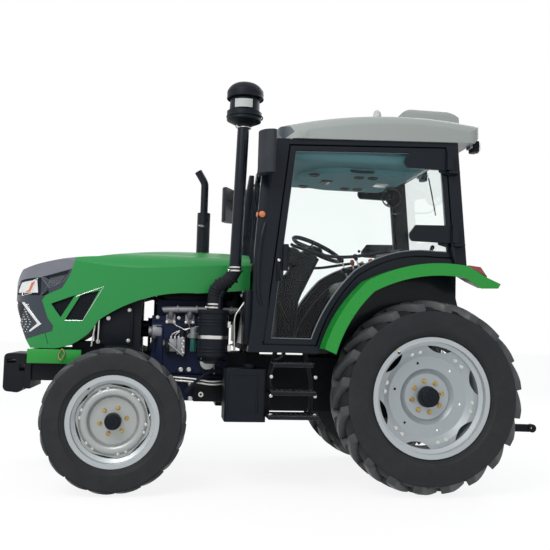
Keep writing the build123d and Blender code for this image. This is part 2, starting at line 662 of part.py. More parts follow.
def side_opening(y0, y1, gap):
    """The closed shape of the door opening, shrunk by gap."""
    top = CAB_TOP_Z - RAIL_H - gap
    rear_top = top + CAB_TOP_RISE
    sill = FLOOR_Z + 8 + gap
    front = A_POST_W + gap * DOOR_FRONT_GAP / DOOR_GAP
    ahead = REAR_POST_W + gap
    rear, shoulder, tip = ARCH_REAR_W + gap, ARCH_SHOULDER_W + gap, ARCH_TIP_W + gap
    arch_rear = from_hub((-60, GUARD_TOP_VIA[1]), rear)
    return side_shape(
        y0, y1, (front_x(sill, front), sill), (front_x(top, front), top), (rear_x(rear_top, ahead), rear_top),
        (rear_x(arch_rear[1], ahead), arch_rear[1]), arch_rear,
        (from_hub((150, 1476), rear), from_hub(GUARD_SHOULDER, shoulder)),
        (from_hub(GUARD_FRONT_VIA, (shoulder + tip) / 2), (from_hub(GUARD_TIP, tip)[0], sill)))


def side_frame():
    """Left side frame: one hoop round the door, with the flange that the door closes on."""
    lower, rear_top = FLOOR_Z - FLOOR_T, CAB_TOP_Z + CAB_TOP_RISE
    inner = CAB_Y - SIDE_W
    seat = RUNNING_GAP
    tip = from_hub(GUARD_TIP, seat)
    hoop = side_shape(
        inner, CAB_Y, (front_x(lower), lower), (front_x(CAB_TOP_Z), CAB_TOP_Z),
        (rear_x(rear_top), rear_top), (CAB_REAR_X, REAR_BASE_Z), from_hub(GUARD_REAR, seat),
        (from_hub(GUARD_TOP_VIA, seat), from_hub(GUARD_SHOULDER, seat)),
        (from_hub(GUARD_FRONT_VIA, seat), tip), (tip[0], lower))
    hoop -= side_opening(inner + STOP_T, CAB_Y + 10, 0)
    return hoop - side_opening(inner - 10, inner + STOP_T + 1, STOP_LIP)


def cross_members():
    """Header and firewall at the front, header and sill beam at the back."""
    inner = CAB_Y - SIDE_W

    def member(edge, z0, z1, depth):
        """A beam across the cab whose faces follow the lean of the edge."""
        return side_shape(-inner, inner, (edge(z0), z0), (edge(z1), z1),
                          (edge(z1, depth), z1), (edge(z0, depth), z0))

    top, rear_top = CAB_TOP_Z, CAB_TOP_Z + CAB_TOP_RISE
    return (member(front_x, top - HEADER_H, top, 60), member(front_x, FLOOR_Z, WINDOW_BASE_Z, 50),
            member(rear_x, rear_top - HEADER_H, top_z(rear_x(rear_top, 60)), 60),
            member(rear_x, REAR_BASE_Z, REAR_BASE_Z + 50, 50))


def windshield():
    inner = CAB_Y - SIDE_W - RUNNING_GAP
    z0, z1 = WINDOW_BASE_Z + RUNNING_GAP, CAB_TOP_Z - HEADER_H - RUNNING_GAP
    return side_shape(-inner, inner, (front_x(z0, 20), z0), (front_x(z1, 20), z1),
                      (front_x(z1, 20 + GLASS_T), z1), (front_x(z0, 20 + GLASS_T), z0))


def rear_window():
    inner = CAB_Y - SIDE_W - RUNNING_GAP
    z0, z1 = REAR_BASE_Z + 50 + RUNNING_GAP, CAB_TOP_Z + CAB_TOP_RISE - HEADER_H - RUNNING_GAP
    return side_shape(-inner, inner, (rear_x(z0, 20), z0), (rear_x(z1, 20), z1),
                      (rear_x(z1, 20 + GLASS_T), z1), (rear_x(z0, 20 + GLASS_T), z0))


def cab_floor():
    """Floor, riser to the seat deck, and the wall behind the seat."""
    front = front_x(FLOOR_Z)
    wall_y = INNER_WALL_Y - SHEET_T - RUNNING_GAP
    floor = block(DECK_X - 30, front, -wall_y, wall_y, FLOOR_Z - FLOOR_T, FLOOR_Z)
    wings = block(720, front, wall_y - 1, CAB_Y - SIDE_W - RUNNING_GAP, FLOOR_Z - FLOOR_T, FLOOR_Z)
    floor += wings + other_side(wings)
    floor += block(DECK_X - 30, DECK_X, -wall_y, wall_y, FLOOR_Z - FLOOR_T, DECK_Z)
    floor += block(CAB_REAR_X + 8, DECK_X, -wall_y, wall_y, DECK_Z - 30, DECK_Z)
    wall_x = CAB_REAR_X + 8
    return floor + block(wall_x, wall_x + 30, -wall_y, wall_y, DECK_Z - 30, REAR_BASE_Z - RUNNING_GAP)


ROOF_Y = 618
ROOF_ARC_X, ROOF_ARC_R = 95, 3350      # the roof's crown bends lengthways round an axis far below
ROOF_REAR_X, ROOF_FRONT_X = -385, 1042


def roof_crown():
    """The crowned cross-section turned about an axis across the cab."""
    t = CAB_TOP_Z
    edge = ROOF_Y + 4
    section = outline_face(lambda p: (ROOF_ARC_X, p[0], p[1]), (-edge, t - 90), [
        (-edge, t + 122), ((-594, t + 188), (-500, t + 216)), ((0, t + 262), (500, t + 216)),
        ((594, t + 188), (edge, t + 122)), (edge, t - 90)])
    across = Axis((ROOF_ARC_X, 0, t + 216 - ROOF_ARC_R), (0, 1, 0))
    ahead, behind = (revolve(section, axis=across, revolution_arc=arc) for arc in (20, -12))
    return ahead + behind


def cab_roof():
    """Roof moulding: crowned, rounded in plan, with an undercut visor in front and the fan hump behind."""
    t, x0, x1 = CAB_TOP_Z, ROOF_REAR_X, ROOF_FRONT_X
    side = side_shape(
        -700, 700, (x1, t + 106), (962, t - 28), (925, top_z(925)), (x0 + 55, top_z(x0 + 55)),
        (x0, t + 110), ((x0 + 8, t + 172), (x0 + 55, t + 200)), (x0 + 55, t + 410), (860, t + 410),
        (860, t + 162))
    y = ROOF_Y
    plan = plan_shape(
        t - 190, t + 460, (x0, -520), ((x0 + 30, -592), (x0 + 95, -y)), (820, -y),
        ((958, -585), (1012, -480)), ((x1, 0), (1012, 480)), ((958, 585), (820, y)), (x0 + 95, y), ((x0 + 30, 592), (x0, 520)))
    edge_x = front_x(t) + 3
    under = side_shape(-CAB_Y - 1, CAB_Y + 1, (800, t - 190), (front_x(t - 190) + 3, t - 190),
                       (edge_x, top_z(edge_x)), (800, top_z(800)))
    hump = side_shape(-330, 330, (-335, t + 150), (-335, t + 310), ((-240, t + 360), (-60, t + 354)),
                      ((60, t + 340), (130, t + 260)), (150, t + 150))
    hump = hump & front_shape(-500, 300, (-330, t + 110), (-310, t + 310), ((-290, t + 350), (-250, t + 362)),
                              (250, t + 362), ((290, t + 350), (310, t + 310)), (330, t + 110))
    return (side & roof_crown() & plan) - under + hump


LINING_Z, CONSOLE_Z = CAB_TOP_Z - 108, CAB_TOP_Z - 148


def headliner():
    """Lining under the roof, its edges turned up, with a lower console that is round in front."""
    y = CAB_Y - SIDE_W - RUNNING_GAP
    x0, x1 = rear_x(CAB_TOP_Z + CAB_TOP_RISE, 62), front_x(CAB_TOP_Z, 62)
    z, high = LINING_Z, CAB_TOP_Z + 110
    side = side_shape(-y, y, (x1, top_z(x1) - RUNNING_GAP), (x1, z + 40), ((x1 - 30, z + 10), (x1 - 90, z)),
                      (60, z), ((-60, z + 12), (x0, z + 80)), (x0, top_z(x0) - RUNNING_GAP))
    section = front_shape(x0 - 10, x1 + 10, (-y, high), (-y, z + 45), ((-y + 25, z + 12), (-y + 90, z)),
                          (y - 90, z), ((y - 25, z + 12), (y, z + 45)), (y, high))
    console = plan_shape(CONSOLE_Z, z + 20, (20, -330), (500, -330), ((780, 0), (500, 330)), (20, 330))
    console &= side_shape(-400, 400, (900, z + 30), (900, CONSOLE_Z), (130, CONSOLE_Z),
                          ((60, CONSOLE_Z + 8), (20, z + 30)))
    return (side & section) + console


def dashboard():
    """Dash console with the steering column's housing."""
    back = 50 + RUNNING_GAP
    top = WINDOW_BASE_Z + 2
    return side_shape(-235, 235, (front_x(FLOOR_Z, back), FLOOR_Z), (front_x(top, back), top), (1052, 1572),
                      (985, 1592), (905, 1500), (905, 1330), (975, 1180), (985, FLOOR_Z))


WHEEL_X, WHEEL_Z, WHEEL_TILT, WHEEL_R = 625, 1632, 25, 205
COLUMN_R, COLUMN_GAP = 14, 0.05
COLUMN_AXIS = (-sin(radians(WHEEL_TILT)), 0, cos(radians(WHEEL_TILT)))


def along_column(d):
    """A point on the steering axis, d above the wheel's hub."""
    return (WHEEL_X + COLUMN_AXIS[0] * d, 0, WHEEL_Z + COLUMN_AXIS[2] * d)


def steering_column():
    cover = rod(along_column(-330), along_column(-60), 46)
    cover += rod(along_column(-60), along_column(-6), COLUMN_R)
    return cover + side_shape(-60, 60, (790, 1180), (940, 1290), (940, 1420), (770, 1450), (735, 1330))


def steering_wheel():
    at = Plane(origin=(WHEEL_X, 0, WHEEL_Z), z_dir=COLUMN_AXIS)
    wheel = Torus(WHEEL_R - 15, 15)
    hub = Pos(0, 0, -8) * Cylinder(42, 36)
    for k in range(3):
        hub += Rot(0, 0, 90 + 120 * k) * Pos((WHEEL_R - 15) / 2, 0, -2) * Box(WHEEL_R - 15, 26, 12)
    return at * (wheel + hub - Pos(0, 0, -16) * Cylinder(COLUMN_R + COLUMN_GAP, 24))


def seat():
    pan = block(80, 520, -215, 215, 1290, 1390)
    back = side_shape(-205, 205, (60, 1340), (150, 1392), (95, 1640), ((70, 1668), (35, 1650)))
    base = block(140, 440, -150, 150, DECK_Z, 1290)
    return base, pan + back


def side_consoles():
    wall = INNER_WALL_Y - SHEET_T - 2
    return block(40, 418, -wall, -245, DECK_Z, 1400), block(40, 418, 250, wall, DECK_Z, 1340)


def write_cab():
    left = side_frame()
    save("cab_side_frame_left", left)
    save("cab_side_frame_right", other_side(left))
    save("cab_cross_members", *cross_members())
    save("cab_windows", windshield(), rear_window())
    save("cab_floor", cab_floor())
    save("cab_roof", cab_roof())
    save("headliner", headliner())
    save("dashboard", dashboard() + steering_column())
    save("steering_wheel", steering_wheel())
    base, cushion = seat()
    save("seat", base + cushion)
    save("side_consoles", *side_consoles())


# ---- doors -----------------------------------------------------------------------------------
def hinge_x(z):
    return HINGE_AXIS_X + REAR_RAKE * (z - HINGE_AXIS_Z)


HINGE_HEIGHTS = [REAR_BASE_Z + (CAB_TOP_Z - REAR_BASE_Z) * share for share in (0.253, 0.873)]
HINGE_ARM = 315                 # from the axis to the arm's tip
ARM_Y = CAB_Y + 8               # the arms stand clear of the side frame
LUG_Z0, LUG_Z1, ARM_Z0, ARM_Z1 = -76, -60, -54, 66     # heights of lug and arm at each hinge


def door_left():
    """Frame with its window cut, the handle, and the hinge arms that reach over the glass to two bosses."""
    y1 = CAB_Y - 2
    y0 = y1 - DOOR_T
    frame = side_opening(y0, y1, DOOR_GAP) - side_opening(y0 - 10, y1 + 10, DOOR_GAP + DOOR_RIM)
    for z in HINGE_HEIGHTS:
        x = hinge_x(z)
        tip = x + HINGE_ARM
        arm = side_shape(ARM_Y, ARM_Y + 20, (x + 2, z + ARM_Z0), (tip - 24, z + ARM_Z0 + 4),
                         ((tip - 2, z - 26), (tip, z + 2)), (tip - 42, z + ARM_Z1 - 8), (x + 2, z + ARM_Z1))
        arm += block(x - 14, x + 26, ARM_Y + 14, HINGE_AXIS_Y + 15, z + ARM_Z0, z + ARM_Z1)
        arm += block(x + 18, x + 46, y1, ARM_Y + 1, z - 18, z + 30)
        for bolt_x in (x + 110, tip - 70):
            arm += y_rod(bolt_x, z + 6, y0, ARM_Y + 1, 13)
        frame += arm
    grip = block(946, 968, y1, CAB_Y + 28, 1425, 1590) - block(940, 980, y1 - 1, CAB_Y + 14, 1448, 1567)
    frame += grip
    frame += block(930, 985, y1 - 4, y1, 1420, 1595)
    low, high = 1500, 2400
    ends = [(hinge_x(z), HINGE_AXIS_Y, z) for z in (low, high)]
    return frame - rod(*ends, HINGE_PIN_R + HINGE_PIN_GAP)


def door_hinge_brackets():
    """Pins and lugs that carry the left door on the rear post."""
    lugs = []
    for z in HINGE_HEIGHTS:
        low, high = z + LUG_Z0 + 2, z + 22
        lug = block(hinge_x(z) - 62, hinge_x(z) + 16, CAB_Y, HINGE_AXIS_Y + 14, z + LUG_Z0, z + LUG_Z1)
        lug += rod((hinge_x(low), HINGE_AXIS_Y, low), (hinge_x(high), HINGE_AXIS_Y, high), HINGE_PIN_R)
        lugs.append(lug)
    return lugs


def door_glass():
    y1 = CAB_Y - 2 - DOOR_T
    return side_opening(y1 - GLASS_T, y1, DOOR_GAP + DOOR_RIM - 14)


def write_doors():
    door, glass = door_left(), door_glass()
    save("door_frame_left", door)
    save("door_frame_right", other_side(door))
    save("door_glass_left", glass)
    save("door_glass_right", other_side(glass))
    door_lugs = door_hinge_brackets()
    save("hinge_brackets", *hood_hinge_brackets(), *door_lugs, *[other_side(lug) for lug in door_lugs])


# ---- mudguards -------------------------------------------------------------------------------
def guard_profile(y0, y1, outer, inner, tail):
    """A curved band over the wheel between two distances from the mudguard line, tail deep at its end."""
    def at(point, d):
        return from_hub(point, -d)
    return side_shape(
        y0, y1, at(GUARD_TIP, outer), (at(GUARD_FRONT_VIA, outer), at(GUARD_SHOULDER, outer)),
        (at(GUARD_TOP_VIA, outer), at(GUARD_REAR, outer)), at(GUARD_HIP, outer), at(GUARD_TAIL, outer),
        at(GUARD_TAIL, tail), at(GUARD_HIP, inner), at(GUARD_REAR, inner),
        (at(GUARD_TOP_VIA, inner), at(GUARD_SHOULDER, inner)),
        (at(GUARD_FRONT_VIA, inner), at(GUARD_TIP, inner)))


def mudguard():
    band = guard_profile(CAB_Y + 6, GUARD_OUTER_Y, 0, GUARD_DEPTH, GUARD_TAIL_DEPTH)
    below = GUARD_DEPTH + 60
    return band - guard_profile(CAB_Y - 10, GUARD_OUTER_Y - GUARD_LIP, GUARD_LIP, below, below)


def inner_guard():
    """Black shell between the cab wall and the band, with the wall beside the wheel."""
    shell = guard_profile(INNER_WALL_Y - SHEET_T, CAB_Y + 6 - RUNNING_GAP, 0, SHEET_T, SHEET_T)
    wall = side_shape(
        INNER_WALL_Y - SHEET_T, INNER_WALL_Y, from_hub(GUARD_TIP, -6),
        (from_hub(GUARD_FRONT_VIA, -6), from_hub(GUARD_SHOULDER, -6)),
        (from_hub(GUARD_TOP_VIA, -6), from_hub(GUARD_REAR, -6)), (-300, 1180), (-120, 1000), (420, 885), (700, 885))
    return shell + wall


def write_mudguards():
    left = mudguard()
    save("mudguard_left", left)
    save("mudguard_right", other_side(left))
    save("inner_guards", *both(inner_guard()))


# ---- sides, lamps, mirrors -------------------------------------------------------------------
BOX_X0, BOX_X1, BOX_Y0, BOX_Y1, BOX_Z0, BOX_Z1 = 1050, 1315, 320, 600, 446, 780


def side_box():
    """Fuel tank on the left, battery box on the right, on brackets from the clutch housing."""
    tank = block(BOX_X0, BOX_X1, BOX_Y0, BOX_Y1, BOX_Z0, BOX_Z1)
    tank = fillet(tank.edges().filter_by(Axis.Z), 22)
    bell = GEARBOX_W / 2 + 15
    for x in (ENGINE_X0 - 110, ENGINE_X0 - 40):
        tank += block(x - 14, x + 14, bell + RUNNING_GAP, BOX_Y0 + 1, 600, 660)
    return tank


STEP_X0, STEP_X1, STEP_Y0, STEP_Y1 = 727, 1044, 470, 700


def steps():
    """Ladder under the door: two hangers and three treads, each deeper than the one above."""
    ladder = None
    # bottom of the tread, how far it stops short of the hangers, how far out it reaches
    for z, trim, out in ((475, 0, STEP_Y1), (625, 16, STEP_Y1 - 12), (800, 30, STEP_Y1 - 60)):
        tread = block(STEP_X0 + trim, STEP_X1 - trim, STEP_Y0, out, z, z + 24)
        ladder = tread if ladder is None else ladder + tread
    top, bend_z = FLOOR_Z - FLOOR_T - RUNNING_GAP, 700
    # hanger's edges at the bottom, and how far its top leans in
    for x0, x1, lean in ((STEP_X0 + 2, STEP_X0 + 30, 44), (STEP_X1 - 30, STEP_X1 - 2, -44)):
        ladder += side_shape(STEP_Y0, STEP_Y0 + 28, (x0, 476), (x1, 476), (x1, bend_z), (x1 + lean, top),
                             (x0 + lean, top), (x0, bend_z))
    return ladder


# left and right mirror: middle height, distance ahead of the rear axle
MIRRORS = ((1, CAB_TOP_Z - 122, 1100), (-1, CAB_TOP_Z - 250, 1236))
MIRROR_W, MIRROR_H, MIRROR_DEPTH, MIRROR_TOE = 165, 280, 62, 28


def mirror_piece(side, z, x):
    """Left-hand head with a bulging back, toed in towards the driver, on its arm from the cab's corner."""
    half = MIRROR_W / 2
    head = plan_shape(z - MIRROR_H / 2, z + MIRROR_H / 2, (-10, -half), (-10, half), (8, half),
                      ((MIRROR_DEPTH - 10, 0), (8, -half)))
    head = fillet(head.edges().filter_by(Axis.Z, reverse=True).filter_by(Axis.Y, reverse=True), 5)
    head = Pos(x, 690, 0) * Rot(0, 0, MIRROR_TOE) * head
    root_z = CAB_TOP_Z - 75
    arm = rod((front_x(root_z, 20), CAB_Y - 20, root_z), (x + 12, 690, z + 20), 8)
    made = head + (arm - behind_front(-RUNNING_GAP))
    return made if side > 0 else other_side(made)


def turn_lamp():
    z = 1783
    x = front_x(z)
    stay = block(x - 20, x + 26, CAB_Y - 48, CAB_Y - 30, z - 12, z + 12)
    return stay + y_rod(x + 32, z, CAB_Y - 50, CAB_Y - 6, 28) - behind_front(-RUNNING_GAP)


def tail_lamp():
    """Wedge on the slope between the mudguard's top and its tail."""
    lamp = side_shape(GUARD_OUTER_Y - 112, GUARD_OUTER_Y - 4, (-228, 1489), (-309, 1481), (-354, 1420),
                      (-330, 1380), (-228, 1420))
    return lamp - guard_profile(CAB_Y - 50, GUARD_OUTER_Y + 50, -RUNNING_GAP, 400, 400)


def work_lamp(roof):
    return block(-402, -322, 470, 556, CAB_TOP_Z + 2, CAB_TOP_Z + 86) - roof


BEACON_X, BEACON_Y = 269, 300


def write_details():
    tank = side_box()
    save("side_boxes", *both(tank))
    save("steps", *both(steps()))
    save("mirrors", *[mirror_piece(*row) for row in MIRRORS])
    roof = cab_roof()
    foot_z, dome_z, dome_r = CAB_TOP_Z + 190, CAB_TOP_Z + 300, 27
    beacon = rod((BEACON_X, BEACON_Y, foot_z), (BEACON_X, BEACON_Y, dome_z - 18), 39)
    beacon += rod((BEACON_X, BEACON_Y, foot_z), (BEACON_X, BEACON_Y, dome_z), dome_r)
    beacon = beacon + Pos(BEACON_X, BEACON_Y, dome_z) * Sphere(dome_r) - roof
    work = work_lamp(roof)
    save("lamps", beacon, *both(work), *both(turn_lamp()), *both(tail_lamp()))


# ---- three-point linkage and towing ----------------------------------------------------------
def lift_arms():
    x, z = LINK_PIVOT_X, ROCKSHAFT_Z
    shaft = y_rod(x, z, -225, 225, 29.95)
    for side in (-1, 1):
        y = side * 212
        arm = side_shape(y - 13, y + 13, (x - 20, z - 42), (x - LIFT_REACH, z - 26),
                         ((x - LIFT_REACH - 26, z), (x - LIFT_REACH, z + 26)), (x - 20, z + 42),
                         ((x + 38, z), (x - 20, z - 42)))
        shaft += arm
        shaft -= y_rod(x - LIFT_REACH, z, y - 40, y + 40, LINK_PIN_R)
    return shaft


def lift_rod():
    """Left lift rod, with a pin in the lift arm and a pin in the lower link."""
    x, y = LINK_PIVOT_X - LIFT_REACH, 252
    bar = rod((x, y, LINK_Z + 20), (x, y, ROCKSHAFT_Z - 20), 13)
    bar += block(x - 22, x + 22, y - 10, y + 14, ROCKSHAFT_Z - 30, ROCKSHAFT_Z + 22)
    bar += y_rod(x, ROCKSHAFT_Z, 196, y, LINK_PIN_R - LINK_PIN_GAP)
    bar += block(x - 20, x + 20, y - 12, y + 12, LINK_Z - 22, LINK_Z + 40)
    return bar + y_rod(x, LINK_Z, y, 304, ROD_PIN_R)


def lower_link():
    x0, x1 = LINK_PIVOT_X, LINK_BALL_X
    bar = plan_shape(LINK_Z - 26, LINK_Z + 26, (x0, LINK_PIVOT_Y - 11), (x0, LINK_PIVOT_Y + 11),
                     (x1 + 10, LINK_BALL_Y + 10), (x1 + 10, LINK_BALL_Y - 10))
    bar += y_rod(x0, LINK_Z, LINK_PIVOT_Y - 14, LINK_PIVOT_Y + 14, 32)
    bar += y_rod(x1, LINK_Z, LINK_BALL_Y - LINK_EYE_W / 2, LINK_BALL_Y + LINK_EYE_W / 2, LINK_EYE_R)
    bar -= y_rod(x0, LINK_Z, 100, 400, LINK_PIN_R)
    bar -= y_rod(x1, LINK_Z, 200, 500, LINK_BORE_R)
    bar -= y_rod(x0 - LIFT_REACH, LINK_Z, 200, 400, ROD_PIN_R + ROD_PIN_GAP)
    return bar


def write_linkage():
    save("lift_arms", lift_arms())
    save("lift_rods", *both(lift_rod()))
    save("lower_links", *both(lower_link()))


def main():
    os.makedirs("parts", exist_ok=True)
    write_wheels()
    write_front_axle()
    write_chassis()
    write_stacks()
    write_hood()
    write_cab()
    write_doors()
    write_mudguards()
    write_details()
    write_linkage()


main()
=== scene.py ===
# Looks of a farm tractor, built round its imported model.
# Metres, +X forward, +Y to the driver's left, +Z up.
import math

import bmesh
import bpy
from mathutils import Matrix, Vector
from mathutils.bvhtree import BVHTree


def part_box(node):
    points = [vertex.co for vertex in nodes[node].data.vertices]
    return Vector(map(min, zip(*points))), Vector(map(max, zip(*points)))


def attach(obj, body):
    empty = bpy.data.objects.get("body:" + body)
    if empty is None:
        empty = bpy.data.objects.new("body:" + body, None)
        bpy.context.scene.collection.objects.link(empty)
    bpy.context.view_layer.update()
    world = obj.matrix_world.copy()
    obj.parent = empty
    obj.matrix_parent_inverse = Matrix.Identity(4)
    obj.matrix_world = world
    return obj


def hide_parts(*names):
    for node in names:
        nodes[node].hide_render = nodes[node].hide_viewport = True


alongX, alongY, alongZ = (1, 0, 0), (0, 1, 0), (0, 0, 1)
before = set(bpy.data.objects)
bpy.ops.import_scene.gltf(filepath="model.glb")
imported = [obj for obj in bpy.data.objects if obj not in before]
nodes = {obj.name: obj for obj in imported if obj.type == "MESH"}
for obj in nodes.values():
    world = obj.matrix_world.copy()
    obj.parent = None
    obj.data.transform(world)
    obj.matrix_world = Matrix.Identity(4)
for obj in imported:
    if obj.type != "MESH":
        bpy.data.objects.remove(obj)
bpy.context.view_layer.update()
scene = bpy.context.scene
rearHub = sum(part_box("rear_tyre_left"), Vector()) / 2


def at(x, y, z):  # a place measured from the rear axle, at ground level
    return Vector((rearHub.x + x, y, z))


# ---- nodes and materials ----
materials = {}


def addNode(tree, kind, **values):  # an input goes by its name or by in0, in1; a node's output is linked
    node = tree.nodes.new(kind)
    for key, value in values.items():
        if hasattr(node, key):
            setattr(node, key, value)
            continue
        socket = node.inputs[int(key[2:]) if key.startswith("in") else key.replace("_", " ")]
        if isinstance(value, bpy.types.NodeSocket):
            tree.links.new(value, socket)
        else:
            socket.default_value = value
    return node


def maths(tree, operation, first, second, **more):
    return addNode(tree, "ShaderNodeMath", operation=operation, in0=first, in1=second, **more).outputs[0]


def objectPlace(tree):
    return addNode(tree, "ShaderNodeTexCoord").outputs["Object"]


def blended(tree, share, first, second):  # a mix of two colours
    return addNode(tree, "ShaderNodeMix", data_type="RGBA", Factor=share, in6=first, in7=second).outputs[2]


def feed(tree, node, **values):  # sets or links inputs of a node that is there already
    for key, value in values.items():
        socket = node.inputs[key.replace("_", " ")]
        if isinstance(value, bpy.types.NodeSocket):
            tree.links.new(value, socket)
        else:
            socket.default_value = value


def newMaterial(name):
    material = bpy.data.materials.new(name)
    material.use_nodes = True
    materials[name] = material
    tree = material.node_tree
    return tree, tree.nodes["Principled BSDF"]


# ---- camera, floor, light ----
cameraSetup = {"place": (0.745, 5.26, 1.06), "yaw": 7.99, "pitch": 4.01, "roll": 1.64, "lens": 47.7}
stageSetup = {"floorSize": 60, "floorGlow": 0.72, "floorWhite": 1.2,
              "floorBase": (0.62, 0.62, 0.62, 1), "skyLight": 0.52, "skyTint": (0.93, 0.97, 1.0)}
# name: place, aim, width, power, colour
lampRows = {
    "keyLamp": ((3.2, 4.6, 5.6), (0.0, 0.2, 1.0), 3.6, 250, (1.0, 0.985, 0.96)),
    "backLamp": ((-4.5, -3.5, 5.0), (0.0, 0.0, 1.2), 4.0, 120, (0.93, 0.97, 1.0)),
}


def makeCamera():
    yaw, pitch, roll = (math.radians(cameraSetup[k]) for k in ("yaw", "pitch", "roll"))
    ahead = Vector((-math.sin(yaw) * math.cos(pitch), -math.cos(yaw) * math.cos(pitch), math.sin(pitch)))
    right = ahead.cross(Vector((0, 0, 1))).normalized()
    up = right.cross(ahead)
    turnedRight = right * math.cos(roll) + up * math.sin(roll)
    turnedUp = up * math.cos(roll) - right * math.sin(roll)
    camera = bpy.data.objects.new("camera", bpy.data.cameras.new("camera"))
    camera.data.lens = cameraSetup["lens"]
    camera.matrix_world = Matrix((turnedRight, turnedUp, -ahead)).transposed().to_4x4()
    camera.location = cameraSetup["place"]
    scene.collection.objects.link(camera)
    scene.camera = camera


def seenDirectly(tree):  # 1 for what the camera, a mirror or a pane looks at
    path = addNode(tree, "ShaderNodeLightPath").outputs
    total = path["Is Camera Ray"]
    for name in ("Is Glossy Ray", "Is Transmission Ray"):
        total = maths(tree, "MAXIMUM", total, path[name])
    return total


def makeStage():
    user = stageSetup
    world = bpy.data.worlds.new("studio")
    scene.world = world
    world.use_nodes = True
    tree = world.node_tree
    tree.nodes.clear()
    lit = addNode(tree, "ShaderNodeBackground", Color=(*user["skyTint"], 1), Strength=user["skyLight"])
    seen = addNode(tree, "ShaderNodeBackground", Color=(1, 1, 1, 1))
    mix = addNode(tree, "ShaderNodeMixShader", in0=seenDirectly(tree), in1=lit.outputs[0],
                  in2=seen.outputs[0])
    addNode(tree, "ShaderNodeOutputWorld", in0=mix.outputs[0])

    half = user["floorSize"] / 2
    mesh = bpy.data.meshes.new("floor")
    mesh.from_pydata([(-half, -half, 0), (half, -half, 0), (half, half, 0), (-half, half, 0)], [],
                     [(0, 1, 2, 3)])
    floor = bpy.data.objects.new("floor", mesh)
    scene.collection.objects.link(floor)
    tree, shader = newMaterial("floorWhite")
    feed(tree, shader, Base_Color=user["floorBase"], Roughness=0.9)
    glow = addNode(tree, "ShaderNodeEmission", Strength=user["floorWhite"])
    share = maths(tree, "MULTIPLY", seenDirectly(tree), user["floorGlow"])
    mix = addNode(tree, "ShaderNodeMixShader", in0=share, in1=shader.outputs[0], in2=glow.outputs[0])
    tree.links.new(mix.outputs[0], tree.nodes["Material Output"].inputs[0])
    mesh.materials.append(materials["floorWhite"])

    for name, (place, aim, size, power, colour) in lampRows.items():
        lamp = bpy.data.lights.new(name, "AREA")
        lamp.size, lamp.energy, lamp.color = size, power, colour
        holder = bpy.data.objects.new(name, lamp)
        holder.location = place
        holder.rotation_euler = (Vector(aim) - Vector(place)).to_track_quat("-Z", "Y").to_euler()
        scene.collection.objects.link(holder)
    scene.view_settings.view_transform = "Standard"


# ---- finishes ----
def newGroup(name, inputs, outputs):
    group = bpy.data.node_groups.new(name, "ShaderNodeTree")
    for label, kind, value in inputs:
        socket = group.interface.new_socket(label, in_out="INPUT", socket_type=kind)
        socket.default_value = value
    for label, kind in outputs:
        group.interface.new_socket(label, in_out="OUTPUT", socket_type=kind)
    start, end = group.nodes.new("NodeGroupInput"), group.nodes.new("NodeGroupOutput")
    return group, start, end


dust = (0.3, 0.27, 0.22, 1)
# large noise's detail and roughness, blotch limits, heights where dust starts and is full,
# small noise's scale and detail
weatherSetup = {"broad": (5.0, 0.62), "spots": (0.42, 0.72), "dust": (1.1, 0.1), "fine": (34.0, 4.0)}


def weatherGroup():  # a base colour with blotches, dust that gathers low down, and uneven gloss
    group, start, end = newGroup(
        "weathering",
        [("Color", "NodeSocketColor", (0.5, 0.5, 0.5, 1)), ("Dust Color", "NodeSocketColor", dust),
         ("Blotches", "NodeSocketFloat", 0.2), ("Low Dust", "NodeSocketFloat", 0.2),
         ("Size", "NodeSocketFloat", 5.0),
         ("Roughness", "NodeSocketFloat", 0.4), ("Unevenness", "NodeSocketFloat", 0.1)],
        [("Color", "NodeSocketColor"), ("Roughness", "NodeSocketFloat")])
    given, user = start.outputs, weatherSetup
    place = objectPlace(group)
    broad = addNode(group, "ShaderNodeTexNoise", Vector=place, Scale=given["Size"], Detail=user["broad"][0],
                    Roughness=user["broad"][1]).outputs["Fac"]
    spots = addNode(group, "ShaderNodeMapRange", Value=broad, From_Min=user["spots"][0],
                    From_Max=user["spots"][1])
    blotch = maths(group, "MULTIPLY", spots.outputs["Result"], given["Blotches"])
    height = addNode(group, "ShaderNodeSeparateXYZ", in0=place).outputs["Z"]
    low = addNode(group, "ShaderNodeMapRange", Value=height, From_Min=user["dust"][0],
                  From_Max=user["dust"][1])
    lowDust = maths(group, "MULTIPLY", low.outputs["Result"], given["Low Dust"])
    total = maths(group, "ADD", blotch, maths(group, "MULTIPLY", lowDust, broad), use_clamp=True)
    group.links.new(blended(group, total, given["Color"], given["Dust Color"]), end.inputs["Color"])
    fine = addNode(group, "ShaderNodeTexNoise", Vector=place, Scale=user["fine"][0], Detail=user["fine"][1])
    swing = maths(group, "MULTIPLY", maths(group, "SUBTRACT", fine.outputs["Fac"], 0.5), given["Unevenness"])
    group.links.new(maths(group, "ADD", swing, given["Roughness"], use_clamp=True), end.inputs["Roughness"])
    return group


def edgeGroup():  # 1 along outer edges, and a normal that rounds them
    group, start, end = newGroup(
        "softEdges", [("Radius", "NodeSocketFloat", 0.003)],
                                 [("Edge", "NodeSocketFloat"), ("Normal", "NodeSocketVector")])
    bevel = addNode(group, "ShaderNodeBevel", samples=4, Radius=start.outputs["Radius"]).outputs["Normal"]
    flat = addNode(group, "ShaderNodeNewGeometry").outputs["Normal"]
    dot = addNode(group, "ShaderNodeVectorMath", operation="DOT_PRODUCT", in0=bevel,
                  in1=flat).outputs["Value"]
    ramp = addNode(group, "ShaderNodeMapRange", Value=dot, From_Min=0.97, From_Max=0.8)
    group.links.new(ramp.outputs["Result"], end.inputs["Edge"])
    group.links.new(bevel, end.inputs["Normal"])
    return group


